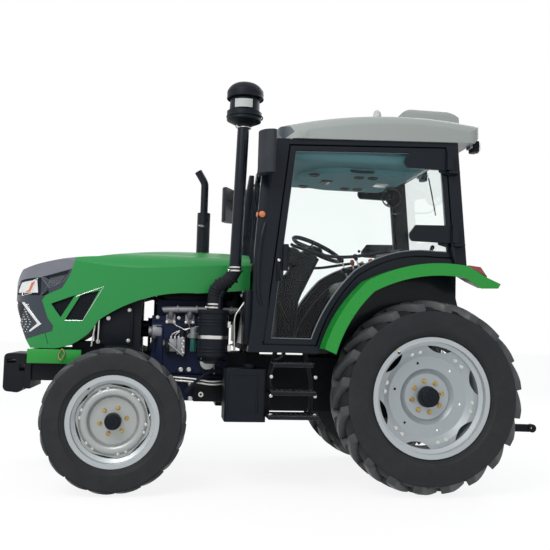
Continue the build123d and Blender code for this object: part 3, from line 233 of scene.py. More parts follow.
def grainGroup():  # cast skin, moulded plastic grain and rubber, as a height
    group, start, end = newGroup("grain", [("Size", "NodeSocketFloat", 300.0)],
                                 [("Height", "NodeSocketFloat")])
    same = {"Vector": objectPlace(group), "Scale": start.outputs["Size"]}
    cells = addNode(group, "ShaderNodeTexVoronoi", feature="SMOOTH_F1", **same).outputs["Distance"]
    noise = addNode(group, "ShaderNodeTexNoise", Detail=3.0, **same).outputs["Fac"]
    group.links.new(maths(group, "ADD", cells, noise), end.inputs["Height"])
    return group


groups = {"weather": weatherGroup(), "edge": edgeGroup(), "grain": grainGroup()}

# colour, second colour, blotches, low dust, blotch size, roughness, unevenness, metal, coat,
# grain size, grain depth
finishRows = {
    "hoodGreen": ((0.018, 0.285, 0.062), (0.026, 0.315, 0.08), 0.18, 0.04, 1.3, 0.3, 0.04, 0, 0.18, 900,
                  1e-5),
    "panelGreen": ((0.02, 0.33, 0.045), (0.03, 0.36, 0.06), 0.18, 0.05, 2.0, 0.3, 0.04, 0, 0.18, 900, 1e-5),
    "maskGrey": ((0.04, 0.052, 0.068), (0.055, 0.068, 0.085), 0.25, 0.1, 4, 0.36, 0.08, 0, 0.1, 700, 3e-5),
    "capGrey": ((0.21, 0.22, 0.26), (0.26, 0.27, 0.3), 0.25, 0.05, 4, 0.3, 0.08, 0.2, 0.2, 700, 3e-5),
    "frameBlack": ((0.007, 0.0105, 0.017), (0.014, 0.018, 0.025), 0.3, 0.1, 3, 0.3, 0.1, 0, 0.12, 500, 3e-5),
    "chassisBlack": ((0.0075, 0.01, 0.0155), (0.022, 0.022, 0.022), 0.3, 0.3, 4, 0.44, 0.16, 0, 0, 260, 1e-4),
    "plasticBlack": ((0.0075, 0.0105, 0.0155), (0.016, 0.018, 0.022), 0.25, 0.25, 4, 0.44, 0.1, 0, 0, 420,
                     1e-4),
    "treadSteel": ((0.0075, 0.01, 0.015), (0.03, 0.03, 0.03), 0.35, 0.3, 6, 0.42, 0.15, 0, 0, 300, 1e-4),
    "hoseBlack": ((0.011, 0.013, 0.017), (0.024, 0.024, 0.025), 0.3, 0.25, 5, 0.55, 0.1, 0, 0, 500, 1e-4),
    "rimSilver": ((0.5, 0.54, 0.56), (0.34, 0.34, 0.33), 0.16, 0.16, 2.6, 0.38, 0.1, 0.45, 0.1, 800, 2e-5),
    "castBlue": ((0.008, 0.015, 0.05), (0.016, 0.02, 0.03), 0.45, 0.3, 5, 0.46, 0.15, 0, 0, 180, 2e-4),
    "castBlack": ((0.0085, 0.011, 0.016), (0.024, 0.022, 0.02), 0.4, 0.35, 4, 0.52, 0.15, 0, 0, 160, 2e-4),
    "castGrey": ((0.3, 0.31, 0.335), (0.16, 0.15, 0.15), 0.4, 0.1, 8, 0.5, 0.15, 0.5, 0, 200, 2e-4),
    "roofShell": ((0.37, 0.4, 0.385), (0.42, 0.45, 0.44), 0.25, 0.0, 1.5, 0.42, 0.08, 0, 0.15, 600, 4e-5),
    "roofVisor": ((0.06, 0.078, 0.1), (0.09, 0.11, 0.13), 0.3, 0.0, 3, 0.4, 0.08, 0, 0.1, 600, 5e-5),
    "headliner": ((0.095, 0.235, 0.27), (0.12, 0.27, 0.3), 0.2, 0.0, 3, 0.75, 0.05, 0, 0, 500, 1e-4),
    "floorRubber": ((0.022, 0.024, 0.027), (0.06, 0.055, 0.05), 0.4, 0.0, 6, 0.75, 0.1, 0, 0, 300, 3e-4),
    "zincSteel": ((0.62, 0.62, 0.6), (0.38, 0.36, 0.33), 0.35, 0.1, 14, 0.32, 0.2, 1, 0, 600, 3e-5),
    "brassBolt": ((0.46, 0.36, 0.15), (0.26, 0.13, 0.06), 0.75, 0.1, 30, 0.38, 0.2, 0.9, 0, 600, 3e-5),
    "chromeTrim": ((0.78, 0.79, 0.8), (0.6, 0.61, 0.62), 0.2, 0.0, 12, 0.14, 0.08, 1, 0, 600, 1e-5),
    "filterGreen": ((0.01, 0.13, 0.1), (0.02, 0.18, 0.14), 0.3, 0.1, 9, 0.35, 0.1, 0, 0.3, 600, 3e-5),
    "filterWhite": ((0.62, 0.66, 0.64), (0.45, 0.46, 0.44), 0.4, 0.1, 9, 0.45, 0.1, 0, 0, 600, 3e-5),
    "mirrorShell": ((0.03, 0.034, 0.042), (0.06, 0.063, 0.07), 0.4, 0.0, 7, 0.5, 0.1, 0, 0, 350, 1e-4),
    "radiatorFin": ((0.02, 0.02, 0.022), (0.06, 0.055, 0.05), 0.4, 0.2, 8, 0.6, 0.1, 0.2, 0, 300, 2e-4),
    "guardGreen": ((0.012, 0.325, 0.036), (0.018, 0.35, 0.048), 0.16, 0.04, 1.6, 0.28, 0.04, 0, 0.22, 900,
                   1e-5),
    "meshBlack": ((0.01, 0.013, 0.018), (0.022, 0.026, 0.032), 0.25, 0.1, 6, 0.45, 0.1, 0, 0, 420, 6e-5),
    "scaleGrey": ((0.036, 0.046, 0.06), (0.06, 0.07, 0.085), 0.25, 0.05, 9, 0.38, 0.1, 0.2, 0, 700, 3e-5),
    "gasketRed": ((0.2, 0.045, 0.028), (0.12, 0.05, 0.03), 0.5, 0.1, 18, 0.6, 0.1, 0, 0, 400, 1e-4),
    "copperPipe": ((0.22, 0.1, 0.05), (0.12, 0.07, 0.05), 0.5, 0.1, 20, 0.4, 0.15, 0.8, 0, 600, 3e-5),
    # pale seal colour: a painted highlight along the door frame and glass edges
    "sealHighlight": ((0.25, 0.29, 0.31), (0.18, 0.2, 0.22), 0.3, 0.0, 12, 0.55, 0.1, 0, 0, 500, 5e-5),
    "labelPale": ((0.5, 0.52, 0.52), (0.36, 0.38, 0.38), 0.3, 0.0, 22, 0.5, 0.1, 0, 0, 600, 2e-5),
    "lampSilver": ((0.8, 0.82, 0.83), (0.62, 0.65, 0.67), 0.2, 0.0, 20, 0.12, 0.05, 0.9, 0.3, 600, 1e-5),
    "dialPale": ((0.55, 0.57, 0.56), (0.45, 0.47, 0.46), 0.2, 0.0, 20, 0.4, 0.05, 0, 0.3, 600, 1e-5),
    "gripRed": ((0.32, 0.03, 0.02), (0.22, 0.03, 0.02), 0.25, 0.0, 15, 0.45, 0.05, 0, 0.1, 500, 5e-5),
    "gripYellow": ((0.62, 0.42, 0.03), (0.45, 0.33, 0.04), 0.25, 0.0, 15, 0.45, 0.05, 0, 0.1, 500, 5e-5),
    "tyreRubber": ((0.014, 0.0165, 0.02), (0.036, 0.037, 0.038), 0.35, 0.3, 7, 0.6, 0.14, 0, 0, 140, 4e-4),
    # lugs lighter than the carcass: partly dust and wear, partly painted light on the lit lug faces
    "lugDustAndLight": ((0.062, 0.067, 0.073), (0.1, 0.1, 0.096), 0.4, 0.15, 7, 0.4, 0.14, 0, 0, 140, 3e-4),
    "mirrorFace": ((0.86, 0.88, 0.89), (0.8, 0.82, 0.83), 0.1, 0.0, 4, 0.03, 0.02, 1, 0, 900, 0.0),
}
wornEdges = {"treadSteel": (0.3, 0.3, 0.3)}
sheenSetup = {"darkBelow": 0.06, "dark": 0.14, "pale": 0.3, "coat": 0.08}


def makeFinish(name, row):
    (colour, second, blotches, lowDust, size, rough, uneven, metal, coat, grainSize, grainDepth) = row
    tree, shader = newMaterial(name)
    weather, edge, grain = (addNode(tree, "ShaderNodeGroup", node_tree=groups[k]) for k in ("weather",
                                                                                            "edge", "grain"))
    feed(tree, weather, Color=(*colour, 1), Dust_Color=(*second, 1), Blotches=blotches, Low_Dust=lowDust,
         Size=size,
         Roughness=rough, Unevenness=uneven)
    top = weather.outputs["Color"]
    if name in wornEdges:
        top = blended(tree, edge.outputs["Edge"], top, (*wornEdges[name], 1))
    matt = max(colour) < sheenSetup["darkBelow"] and name != "tyreRubber"
    feed(tree, grain, Size=grainSize)
    bump = addNode(tree, "ShaderNodeBump", Strength=0.6, Distance=grainDepth, Height=grain.outputs["Height"],
                   Normal=edge.outputs["Normal"])
    feed(tree, shader, Base_Color=top, Roughness=weather.outputs["Roughness"], Metallic=metal,
         Coat_Weight=coat,
         Coat_Roughness=sheenSetup["coat"], Specular_IOR_Level=sheenSetup["dark" if matt else "pale"],
         Normal=bump.outputs["Normal"])


def makeGlass(name, tint):
    tree, shader = newMaterial(name)
    haze = addNode(tree, "ShaderNodeTexNoise", Vector=objectPlace(tree), Scale=3.0, Detail=4.0)
    smear = addNode(tree, "ShaderNodeMapRange", Value=haze.outputs["Fac"], From_Min=0.5, From_Max=0.8,
                    To_Min=0.0, To_Max=0.03)
    feed(tree, shader, Base_Color=(*tint, 1), Transmission_Weight=1, IOR=1.2,
         Roughness=smear.outputs["Result"])
    shadow = addNode(tree, "ShaderNodeLightPath").outputs["Is Shadow Ray"]
    clear = addNode(tree, "ShaderNodeBsdfTransparent", Color=(*[0.4 + 0.6 * c for c in tint], 1)).outputs[0]
    mix = addNode(tree, "ShaderNodeMixShader", in0=shadow, in1=shader.outputs[0], in2=clear)
    tree.links.new(mix.outputs[0], tree.nodes["Material Output"].inputs[0])


def makeLens(name, colour, ribs):  # ribbed plastic lens
    tree, shader = newMaterial(name)
    place = objectPlace(tree)
    wave = addNode(tree, "ShaderNodeTexWave", Vector=place, Scale=ribs, Distortion=0.0)
    noise = addNode(tree, "ShaderNodeTexNoise", Vector=place, Scale=20.0)
    tone = blended(tree, noise.outputs["Fac"], (*colour, 1), (*[c * 0.55 for c in colour], 1))
    bump = addNode(tree, "ShaderNodeBump", Strength=0.5, Distance=0.001, Height=wave.outputs["Fac"])
    feed(tree, shader, Base_Color=tone, Normal=bump.outputs["Normal"], Roughness=0.16, Coat_Weight=0.6)


def makeSeatFabric():
    tree, shader = newMaterial("seatFabric")
    place = objectPlace(tree)
    weave = addNode(tree, "ShaderNodeTexVoronoi", Vector=place, Scale=420.0, feature="F1")
    noise = addNode(tree, "ShaderNodeTexNoise", Vector=place, Scale=9.0, Detail=4.0)
    tone = blended(tree, noise.outputs["Fac"], (0.018, 0.02, 0.024, 1), (0.045, 0.048, 0.055, 1))
    bump = addNode(tree, "ShaderNodeBump", Strength=0.5, Distance=0.0006, Height=weave.outputs["Distance"])
    feed(tree, shader, Base_Color=tone, Normal=bump.outputs["Normal"], Roughness=0.9, Sheen_Weight=0.3)


def overZero(tree, tests):  # 1 where every test is over zero, with a line 1 mm soft between
    least = tests[0]
    for test in tests[1:]:
        least = maths(tree, "MINIMUM", least, test)
    return addNode(tree, "ShaderNodeMapRange", Value=least, From_Min=-0.0005,
                   From_Max=0.0005).outputs["Result"]


def beyondLine(tree, first, second, side=1):  # metres to the left of a line in X-Z; to its right with -1
    along = (Vector(second) - Vector(first)).normalized()
    normal = Vector((-along.y, 0, along.x)) * side
    reach = addNode(tree, "ShaderNodeVectorMath", operation="DOT_PRODUCT", in0=objectPlace(tree), in1=normal)
    return maths(tree, "SUBTRACT", reach.outputs["Value"], normal.x * first[0] + normal.z * first[1])


def insideRadius(tree, hub, radius):  # metres inside a circle about a hub, in X-Z
    flat = addNode(tree, "ShaderNodeVectorMath", operation="MULTIPLY", in0=objectPlace(tree), in1=(1, 0, 1))
    gap = addNode(tree, "ShaderNodeVectorMath", operation="DISTANCE", in0=flat.outputs[0],
                  in1=(hub[0], 0, hub[1]))
    return maths(tree, "SUBTRACT", radius, gap.outputs["Value"])


def makeZoned(name, row, zones):  # a finish whose colour changes in stated zones; a zone is (colour, tests)
    makeFinish(name, row)
    tree = materials[name].node_tree
    weather = next(n for n in tree.nodes if n.type == "GROUP" and n.node_tree == groups["weather"])
    below = (*row[0], 1)
    for colour, tests in zones:
        below = blended(tree, overZero(tree, [test(tree) for test in tests]), below, (*colour, 1))
    tree.links.new(below, weather.inputs["Color"])


# X and Z of zone lines, from the rear axle; radii of a rim's zones, its hub cap and its disc, which is
# painted darker as shade
zoneSetup = {
    "capLine": ((2.656, 1.299), (2.351, 1.398)),
    "visorFront": ((0.914, 2.337), (0.948, 2.391)),
    "visorFoot": ((0.971, 2.297), (0.914, 2.337)),
    "visorTop": 2.393,
    "rims": {"rear": (0.069, 0.333), "front": (0.052, 0.228)},
}


def makeZones():
    cap, front, foot = (fromAxle(zoneSetup[k]) for k in ("capLine", "visorFront", "visorFoot"))
    makeZoned("maskTwoTone", finishRows["maskGrey"],
              [(finishRows["capGrey"][0], [lambda tree: beyondLine(tree, *cap, -1)])])
    top = zoneSetup["visorTop"]
    makeZoned("roofTwoTone", finishRows["roofShell"],
              [(finishRows["roofVisor"][0], [lambda tree: beyondLine(tree, *front, -1),
                                             lambda tree: beyondLine(tree, *foot, -1),
                                             lambda tree: beyondLine(tree, (0, top), (1, top), -1)])])
    # rims: silver, with the disc painted darker as shade and a black hub cap in the middle
    for end, (capRadius, discRadius) in zoneSetup["rims"].items():
        middle = sum(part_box(f"{end}_rim_left"), Vector()) / 2
        hub = (middle.x, middle.z)
        makeZoned(end + "Rim", finishRows["rimSilver"],
                  [(rimDiscShade[end], [lambda tree, r=discRadius: insideRadius(tree, hub, r)]),
                   (finishRows["plasticBlack"][0], [lambda tree, r=capRadius: insideRadius(tree, hub, r)])])


# disc colours, darker than the rims' silver: painted shade on the dished discs
rimDiscShade = {"rear": (0.4, 0.44, 0.46), "front": (0.43, 0.45, 0.445)}


def makeMaterials():
    for name, row in finishRows.items():
        makeFinish(name, row)
    makeGlass("cabGlass", (0.955, 0.988, 0.98))
    makeLens("amberLens", (0.85, 0.22, 0.03), 120)
    makeLens("redLens", (0.42, 0.02, 0.03), 120)
    makeLens("clearLens", (0.75, 0.76, 0.76), 160)
    makeSeatFabric()
    makeZones()


# CAD node to finish
nodeFinish = {
    "hoodGreen": ("hood_shell",),
    "guardGreen": ("mudguard_left", "mudguard_right"),
    "panelGreen": ("lower_front_panel",),
    "maskTwoTone": ("nose_mask",),
    "meshBlack": ("nose_grilles", "headlamps"),
    "frameBlack": ("cab_side_frame_left", "cab_side_frame_right", "cab_cross_members", "door_frame_left",
                   "door_frame_right", "hinge_brackets", "inner_guards", "exhaust_stack", "intake_pipe"),
    "chassisBlack": ("front_frame", "front_weights", "radiator", "battery", "drawbar"),
    "plasticBlack": ("side_boxes", "pre_cleaner", "air_cleaner", "dashboard", "side_consoles",
                     "steering_wheel"),
    "treadSteel": ("steps",),
    "mirrorShell": ("mirrors",),
    "frontRim": ("front_rim_left", "front_rim_right"),
    "rearRim": ("rear_rim_left", "rear_rim_right"),
    "castBlue": ("engine",),
    "castBlack": ("gearbox_housing", "rear_axle_housing", "front_axle", "knuckle_left", "knuckle_right",
                  "tie_rod",
                  "lift_arms", "lower_links", "top_link_bracket"),
    "zincSteel": ("lift_rods", "pto_shaft"),
    "roofTwoTone": ("cab_roof",),
    "headliner": ("headliner",),
    "floorRubber": ("cab_floor",),
    "cabGlass": ("cab_windows", "door_glass_left", "door_glass_right"),
    "seatFabric": ("seat",),
    "tyreRubber": ("front_tyre_left", "front_tyre_right", "rear_tyre_left", "rear_tyre_right"),
    "amberLens": ("lamps",),
}


def paintNodes():
    for finish, names in nodeFinish.items():
        for name in names:
            slots = nodes[name].material_slots
            for slot in slots:
                slot.material = materials[finish]


# ---- shapes: a part is (points, faces, finish) ----
def meshPart(mesh, finish):
    points = [v.co.copy() for v in mesh.vertices]
    faces = [tuple(p.vertices) for p in mesh.polygons]
    return points, faces, finish


def fromBmesh(shape, finish):
    mesh = bpy.data.meshes.new("part")
    shape.to_mesh(mesh)
    shape.free()
    part = meshPart(mesh, finish)
    bpy.data.meshes.remove(mesh)
    return part


def moved(part, matrix):
    points, faces, finish = part
    faces = [tuple(reversed(f)) for f in faces] if matrix.determinant() < 0 else faces
    return [matrix @ p for p in points], faces, finish


mirrorY = Matrix.Diagonal((1, -1, 1, 1))


def bothSides(parts):
    return list(parts) + [moved(p, mirrorY) for p in parts]


def softened(shape, width, steps=2):
    if width:
        edges = [e for e in shape.edges if len(e.link_faces) == 2 and e.calc_face_angle() > 0.5]
        bmesh.ops.bevel(shape, geom=edges, offset=width, segments=steps, profile=0.5, affect="EDGES",
                        clamp_overlap=True)


def boxPart(low, high, finish, soft=0.004):
    shape = bmesh.new()
    bmesh.ops.create_cube(shape, size=1)
    low, high = Vector(low), Vector(high)
    size, middle = high - low, (low + high) / 2
    for v in shape.verts:
        v.co = Vector((v.co.x * size.x, v.co.y * size.y, v.co.z * size.z)) + middle
    softened(shape, soft)
    return fromBmesh(shape, finish)


def platePart(outline, y0, y1, finish, soft=0.002):  # an X-Z outline between two Y planes
    shape = bmesh.new()
    ring = [shape.verts.new((x, y0, z)) for x, z in outline]
    face = shape.faces.new(ring)
    made = bmesh.ops.extrude_face_region(shape, geom=[face])
    bmesh.ops.translate(shape, verts=[g for g in made["geom"] if isinstance(g, bmesh.types.BMVert)],
                        vec=(0, y1 - y0, 0))
    bmesh.ops.recalc_face_normals(shape, faces=shape.faces)
    softened(shape, soft)
    return fromBmesh(shape, finish)


def lathePart(profile, place, axis, finish, steps=40, closed=False):  # (radius, along) turned about an axis
    turnTo = Vector(alongZ).rotation_difference(Vector(axis)).to_matrix().to_4x4()
    matrix = Matrix.Translation(place) @ turnTo
    points, faces = [], []
    rings = []
    for r, z in profile:
        if r < 1e-6:
            rings.append([len(points)])
            points.append(matrix @ Vector((0, 0, z)))
            continue
        rings.append(list(range(len(points), len(points) + steps)))
        for k in range(steps):
            a = 2 * math.pi * k / steps
            points.append(matrix @ Vector((r * math.cos(a), r * math.sin(a), z)))
    pairs = list(zip(rings, rings[1:])) + ([(rings[-1], rings[0])] if closed else [])
    for low, high in pairs:
        for k in range(steps):
            n = (k + 1) % steps
            if len(low) == 1 and len(high) == 1:
                continue
            if len(low) == 1:
                faces.append((low[0], high[n], high[k]))
            elif len(high) == 1:
                faces.append((low[k], low[n], high[0]))
            else:
                faces.append((low[k], low[n], high[n], high[k]))
    return points, faces, finish


def tubePart(route, radius, finish, sides=3, bend=True, loop=False):
    curve = bpy.data.curves.new("tube", "CURVE")
    curve.dimensions = "3D"
    curve.bevel_depth = radius
    curve.bevel_resolution = sides
    curve.resolution_u = 6
    curve.use_fill_caps = not loop
    spline = curve.splines.new("NURBS" if bend else "POLY")
    spline.points.add(len(route) - 1)
    for point, place in zip(spline.points, route):
        point.co = (*place, 1)
    spline.order_u = 3
    spline.use_endpoint_u = not loop
    spline.use_cyclic_u = loop
    holder = bpy.data.objects.new("tube", curve)
    mesh = bpy.data.meshes.new_from_object(holder)
    part = meshPart(mesh, finish)
    bpy.data.objects.remove(holder)
    bpy.data.curves.remove(curve)
    bpy.data.meshes.remove(mesh)
    return part


def boltPart(place, axis, radius, height, finish, washer=True):  # hex head on a washer
    turnTo = Vector(alongZ).rotation_difference(Vector(axis)).to_matrix().to_4x4()
    matrix = Matrix.Translation(place) @ turnTo
    shape = bmesh.new()
    bmesh.ops.create_cone(shape, segments=6, radius1=radius, radius2=radius * 0.93, depth=height,
                          cap_ends=True,
                          matrix=matrix @ Matrix.Translation((0, 0, height / 2)))
    if washer:
        bmesh.ops.create_cone(shape, segments=16, radius1=radius * 1.45, radius2=radius * 1.4,
                              depth=height * 0.24,
                              cap_ends=True, matrix=matrix @ Matrix.Translation((0, 0, height * 0.12)))
    return fromBmesh(shape, finish)


def piece(name, body, parts, smooth=35):
    mesh = bpy.data.meshes.new(name)
    points, faces, marks, used = [], [], [], []
    for partPoints, partFaces, finish in parts:
        if finish not in used:
            used.append(finish)
        shift = len(points)
        points += [tuple(p) for p in partPoints]
        faces += [tuple(i + shift for i in f) for f in partFaces]
        marks += [used.index(finish)] * len(partFaces)
    mesh.from_pydata(points, [], faces)
    mesh.polygons.foreach_set("material_index", marks)
    for finish in used:
        mesh.materials.append(materials[finish])
    mesh.shade_smooth()
    mesh.set_sharp_from_angle(angle=math.radians(smooth))
    mesh.update()
    holder = bpy.data.objects.new(name, mesh)
    scene.collection.objects.link(holder)
    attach(holder, body)
    return holder


# ---- repeats by Geometry Nodes ----
def repeatTree(name, ring):
    tree = bpy.data.node_groups.new(name, "GeometryNodeTree")
    for label, kind in (("Part", "Object"), ("Finish", "Material"), ("Count", "Int"), ("Start", "Float"),
                        ("Sweep", "Float"), ("Step", "Vector")):
        tree.interface.new_socket(label, in_out="INPUT", socket_type="NodeSocket" + kind)
    tree.interface.new_socket("Geometry", in_out="OUTPUT", socket_type="NodeSocketGeometry")
    given, end = addNode(tree, "NodeGroupInput").outputs, addNode(tree, "NodeGroupOutput")
    index = addNode(tree, "GeometryNodeInputIndex").outputs[0]
    points = addNode(tree, "GeometryNodePoints", Count=given["Count"])
    source = addNode(tree, "GeometryNodeObjectInfo", Object=given["Part"]).outputs["Geometry"]
    spread = addNode(tree, "GeometryNodeInstanceOnPoints", Points=points.outputs[0], Instance=source)
    if ring:  # turned about Y, at Start, over Sweep
        step = maths(tree, "DIVIDE", given["Sweep"], given["Count"])
        turn = maths(tree, "ADD", maths(tree, "MULTIPLY", index, step), given["Start"])
        feed(tree, spread, Rotation=addNode(tree, "ShaderNodeCombineXYZ", Y=turn).outputs[0])
    else:  # in a row
        scaled = addNode(tree, "ShaderNodeVectorMath", operation="SCALE", in0=given["Step"], Scale=index)
        feed(tree, points, Position=scaled.outputs[0])
    realize = addNode(tree, "GeometryNodeRealizeInstances", in0=spread.outputs[0])
    paint = addNode(tree, "GeometryNodeSetMaterial", Geometry=realize.outputs[0], Material=given["Finish"])
    tree.links.new(paint.outputs[0], end.inputs[0])
    return tree


trees = {"ring": repeatTree("ringOfParts", True), "row": repeatTree("rowOfParts", False)}


def repeated(kind, part, count, start=0.0, sweep=2 * math.pi, step=(0, 0, 0)):
    points, faces, finish = part
    source = bpy.data.meshes.new("source")
    source.from_pydata([tuple(p) for p in points], [], faces)
    holder = bpy.data.objects.new("source", source)
    host = bpy.data.objects.new("host", bpy.data.meshes.new("host"))
    for made in (holder, host):
        scene.collection.objects.link(made)
    modifier = host.modifiers.new("repeat", "NODES")
    modifier.node_group = trees[kind]
    sockets = {s.name: s.identifier for s in trees[kind].interface.items_tree if s.in_out == "INPUT"}
    for label, value in (("Part", holder), ("Finish", materials[finish]), ("Count", count), ("Start", start),
                         ("Sweep", sweep), ("Step", step)):
        modifier[sockets[label]] = value
    graph = bpy.context.evaluated_depsgraph_get()
    mesh = bpy.data.meshes.new_from_object(host.evaluated_get(graph))
    made = meshPart(mesh, finish)
    for extra in (holder, host):
        bpy.data.objects.remove(extra)
    bpy.data.meshes.remove(mesh)
    return made


def ringOf(part, count, place, start=0.0, sweep=2 * math.pi):  # about the Y axis through place
    return moved(repeated("ring", part, count, start, sweep), Matrix.Translation(place))


def rowOf(part, count, step):
    return repeated("row", part, count, step=step)


# ---- tyres ----
# lugs a side, lug height, bar width, how far a bar runs down the shoulder, its sweep in radians; the tread's
# drop at its edge, that edge as a share of the half width, a bar's chamfer and the flare of its foot
allTyres = {"sweep": 0.27, "drop": 0.026, "edge": 0.88, "chamfer": 0.0035, "flare": 0.007}
tyreRows = {
    "rear": {**allTyres, "lugs": 20, "height": 0.042, "bar": 0.035, "shoulder": 0.085},
    "front": {**allTyres, "lugs": 17, "height": 0.033, "bar": 0.028, "shoulder": 0.062},
}


tyreTurn = {"left": 0.11, "right": 0.3}  # radians that the lugs stand turned


def tyreShape(end):
    user = tyreRows[end]
    low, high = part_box(end + "_tyre_left")
    rimLow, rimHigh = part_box(end + "_rim_left")
    outer, half = (high.z - low.z) / 2, (high.y - low.y) / 2
    flange = (rimHigh.z - rimLow.z) / 2
    height, drop, chamfer, flare = (user[k] for k in ("height", "drop", "chamfer", "flare"))
    edge = user["edge"] * half
    base = outer - height

    def crown(y):  # outer envelope over the tread
        return outer - drop * (y / edge) ** 2

    wallR = flange - 0.02 + 0.45 * (outer - flange + 0.02)
    side = [(flange - 0.012, 0.8 * half), (flange + 0.007, 0.8 * half), (flange + 0.012, 0.845 * half),
            (flange + 0.02, 0.86 * half), (flange + 0.024, 0.9 * half), (flange + 0.035, 0.925 * half),
            (flange + 0.04, 0.955 * half), (wallR - 0.03, 0.992 * half), (wallR + 0.015, 0.995 * half),
            (wallR + 0.07, 0.97 * half), (outer - 0.112, 0.94 * half), (outer - 0.108, 0.905 * half),
            (outer - 0.098, 0.865 * half), (outer - 0.082, 0.82 * half),
            (outer - 0.066 - height * 0.25, 0.75 * half),
            (base - drop * 0.85, 0.64 * half), (base - drop * 0.3, 0.5 * half),
            (base - drop * 0.07, 0.25 * half)]
    profile = side + [(base, 0)] + [(r, -y) for r, y in reversed(side)]
    carcass = lathePart(profile, (0, 0, 0), alongY, "tyreRubber", 120)

    bar, sweep, down = user["bar"], user["sweep"], user["shoulder"]
    # y, top radius, base radius, angle, half width
    stations = []
    for k in range(7):
        s = k / 6
        y = edge * (-0.05 + 1.05 * s)
        stations.append((y, crown(max(y, 0)), base - 0.006 - drop * s * s, sweep * s ** 0.9,
                         bar / 2 * (1.0 + 0.35 * s) * 1.25))
    wide = bar / 2 * 1.35 * 1.25
    stations += [(edge + 0.45 * (half - edge), crown(edge) - 0.4 * down, base - drop - down * 0.5,
                  sweep + 0.006, wide * 0.98),
                 (half * 0.98, outer - drop - down, outer - drop - down - 0.012, sweep + 0.01, wide * 0.9)]
    points, faces = [], []
    for y, top, low, angle, wideHere in stations:
        for r, w in ((low, -wideHere - flare), (top - chamfer, -wideHere), (top, -wideHere + chamfer),
                     (top, wideHere - chamfer), (top - chamfer, wideHere), (low, wideHere + flare)):
            a = angle + w / outer
            inset = 0.012 if r == low and y > edge else 0.0
            points.append(Vector((r * math.cos(a), y - inset, r * math.sin(a))))
    rows = len(stations)
    for k in range(rows - 1):
        for j in range(5):
            a = k * 6 + j
            faces.append((a, a + 6, a + 7, a + 1))
    faces.append(tuple(range(6)))
    faces.append(tuple(reversed(range((rows - 1) * 6, rows * 6))))
    # the lugs' lighter finish holds dust and wear, and painted light on their faces
    lug = (points, faces, "lugDustAndLight")
    pitch = 2 * math.pi / user["lugs"]
    lugs = repeated("ring", lug, user["lugs"])
    other = moved(repeated("ring", lug, user["lugs"], pitch / 2), mirrorY)
    return [carcass, lugs, other]


def makeTyres():
    for end in ("rear", "front"):
        shape = tyreShape(end)
        for side in ("left", "right"):
            low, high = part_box(f"{end}_tyre_{side}")
            matrix = Matrix.Translation((low + high) / 2) @ Matrix.Rotation(tyreTurn[side], 4, "Y")
            tyre = piece(f"{end}TyreTread_{side}", f"{end}_wheel_{side}", [moved(p, matrix) for p in shape],
                         30)
            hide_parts(f"{end}_tyre_{side}")


# ---- surfaces to lay things on ----
# axes of the outline, and the axis looked along
facings = {"side": (0, 2, 1), "front": (1, 2, 0), "top": (0, 1, 2)}
outside, nearby = 4, 0.3  # where a ray starts, and where the search starts when it meets nothing


def skinOf(*names):
    points, faces = [], []
    for name in names:
        shift = len(points)
        points += [v.co.copy() for v in nodes[name].data.vertices]
        faces += [tuple(i + shift for i in p.vertices) for p in nodes[name].data.polygons]
    return BVHTree.FromPolygons(points, faces)


def onSkin(skin, facing, u, v, lift=0.0):  # the first surface met from outside, raised along its normal
    a, b, c = facings[facing]
    start, ray = Vector(), Vector()
    start[a], start[b], start[c] = u, v, outside
    ray[c] = -1
    place, normal, _, _ = skin.ray_cast(start, ray)
    if place is None:
        start[c] = nearby
        place, normal, _, _ = skin.find_nearest(start)
    return place + normal * lift


def fromAxle(outline):  # an (X, Z) outline measured from the rear axle
    return [(rearHub.x + x, z) for x, z in outline]


def skinPatch(skin, facing, outline, lift, depth, finish, cell=0.03):
    a, b, c = facings[facing]
    shape = bmesh.new()
    ring = []
    for u, v in outline:
        place = Vector()
        place[a], place[b] = u, v
        ring.append(shape.verts.new(place))
    shape.faces.new(ring)
    for axis in (a, b):
        low, high = (pick(v.co[axis] for v in shape.verts) for pick in (min, max))
        steps = max(1, round((high - low) / cell))
        for k in range(1, steps):
            place, normal = Vector(), Vector()
            place[axis], normal[axis] = low + (high - low) * k / steps, 1
            bmesh.ops.bisect_plane(shape, geom=shape.verts[:] + shape.edges[:] + shape.faces[:],
                                   plane_co=place, plane_no=normal)
    made = bmesh.ops.extrude_face_region(shape, geom=shape.faces[:])
    back = {v for v in made["geom"] if isinstance(v, bmesh.types.BMVert)}
    for v in shape.verts:
        v.co = onSkin(skin, facing, v.co[a], v.co[b], lift - depth if v in back else lift)
    bmesh.ops.recalc_face_normals(shape, faces=shape.faces)
    return fromBmesh(shape, finish)


def skinLine(skin, facing, route, radius, finish, lift=0.0, step=0.03, loop=False):
    ends = list(zip(route, route[1:] + (route[:1] if loop else [])))
    if not loop:
        ends = ends[:len(route) - 1]
    places = []
    for (u0, v0), (u1, v1) in ends:
        count = max(1, round(math.dist((u0, v0), (u1, v1)) / step))
        places += [onSkin(skin, facing, u0 + (u1 - u0) * k / count, v0 + (v1 - v0) * k / count,
                          lift) for k in range(count)]
    if not loop:
        places.append(onSkin(skin, facing, *route[-1], lift))
    return tubePart(places, radius, finish, 2, bend=False, loop=loop)


def clipped(outline, start, end):  # the stretch of a line that lies inside a convex outline
    low, high = 0.0, 1.0
    middle = Vector((sum(p[0] for p in outline), sum(p[1] for p in outline))) / len(outline)
    for p, q in zip(outline, outline[1:] + outline[:1]):
        p, q = Vector(p), Vector(q)
        inward = Vector((p.y - q.y, q.x - p.x))
        if inward.dot(middle - p) < 0:
            inward.negate()
        before, after = inward.dot(Vector(start) - p), inward.dot(Vector(end) - p)
        if before < 0 and after < 0:
            return None
        if before < 0:
            low = max(low, before / (before - after))
        elif after < 0:
            high = min(high, before / (before - after))
    if low >= high:
        return None
    span = Vector(end) - Vector(start)
    return [tuple(Vector(start) + span * low), tuple(Vector(start) + span * high)]


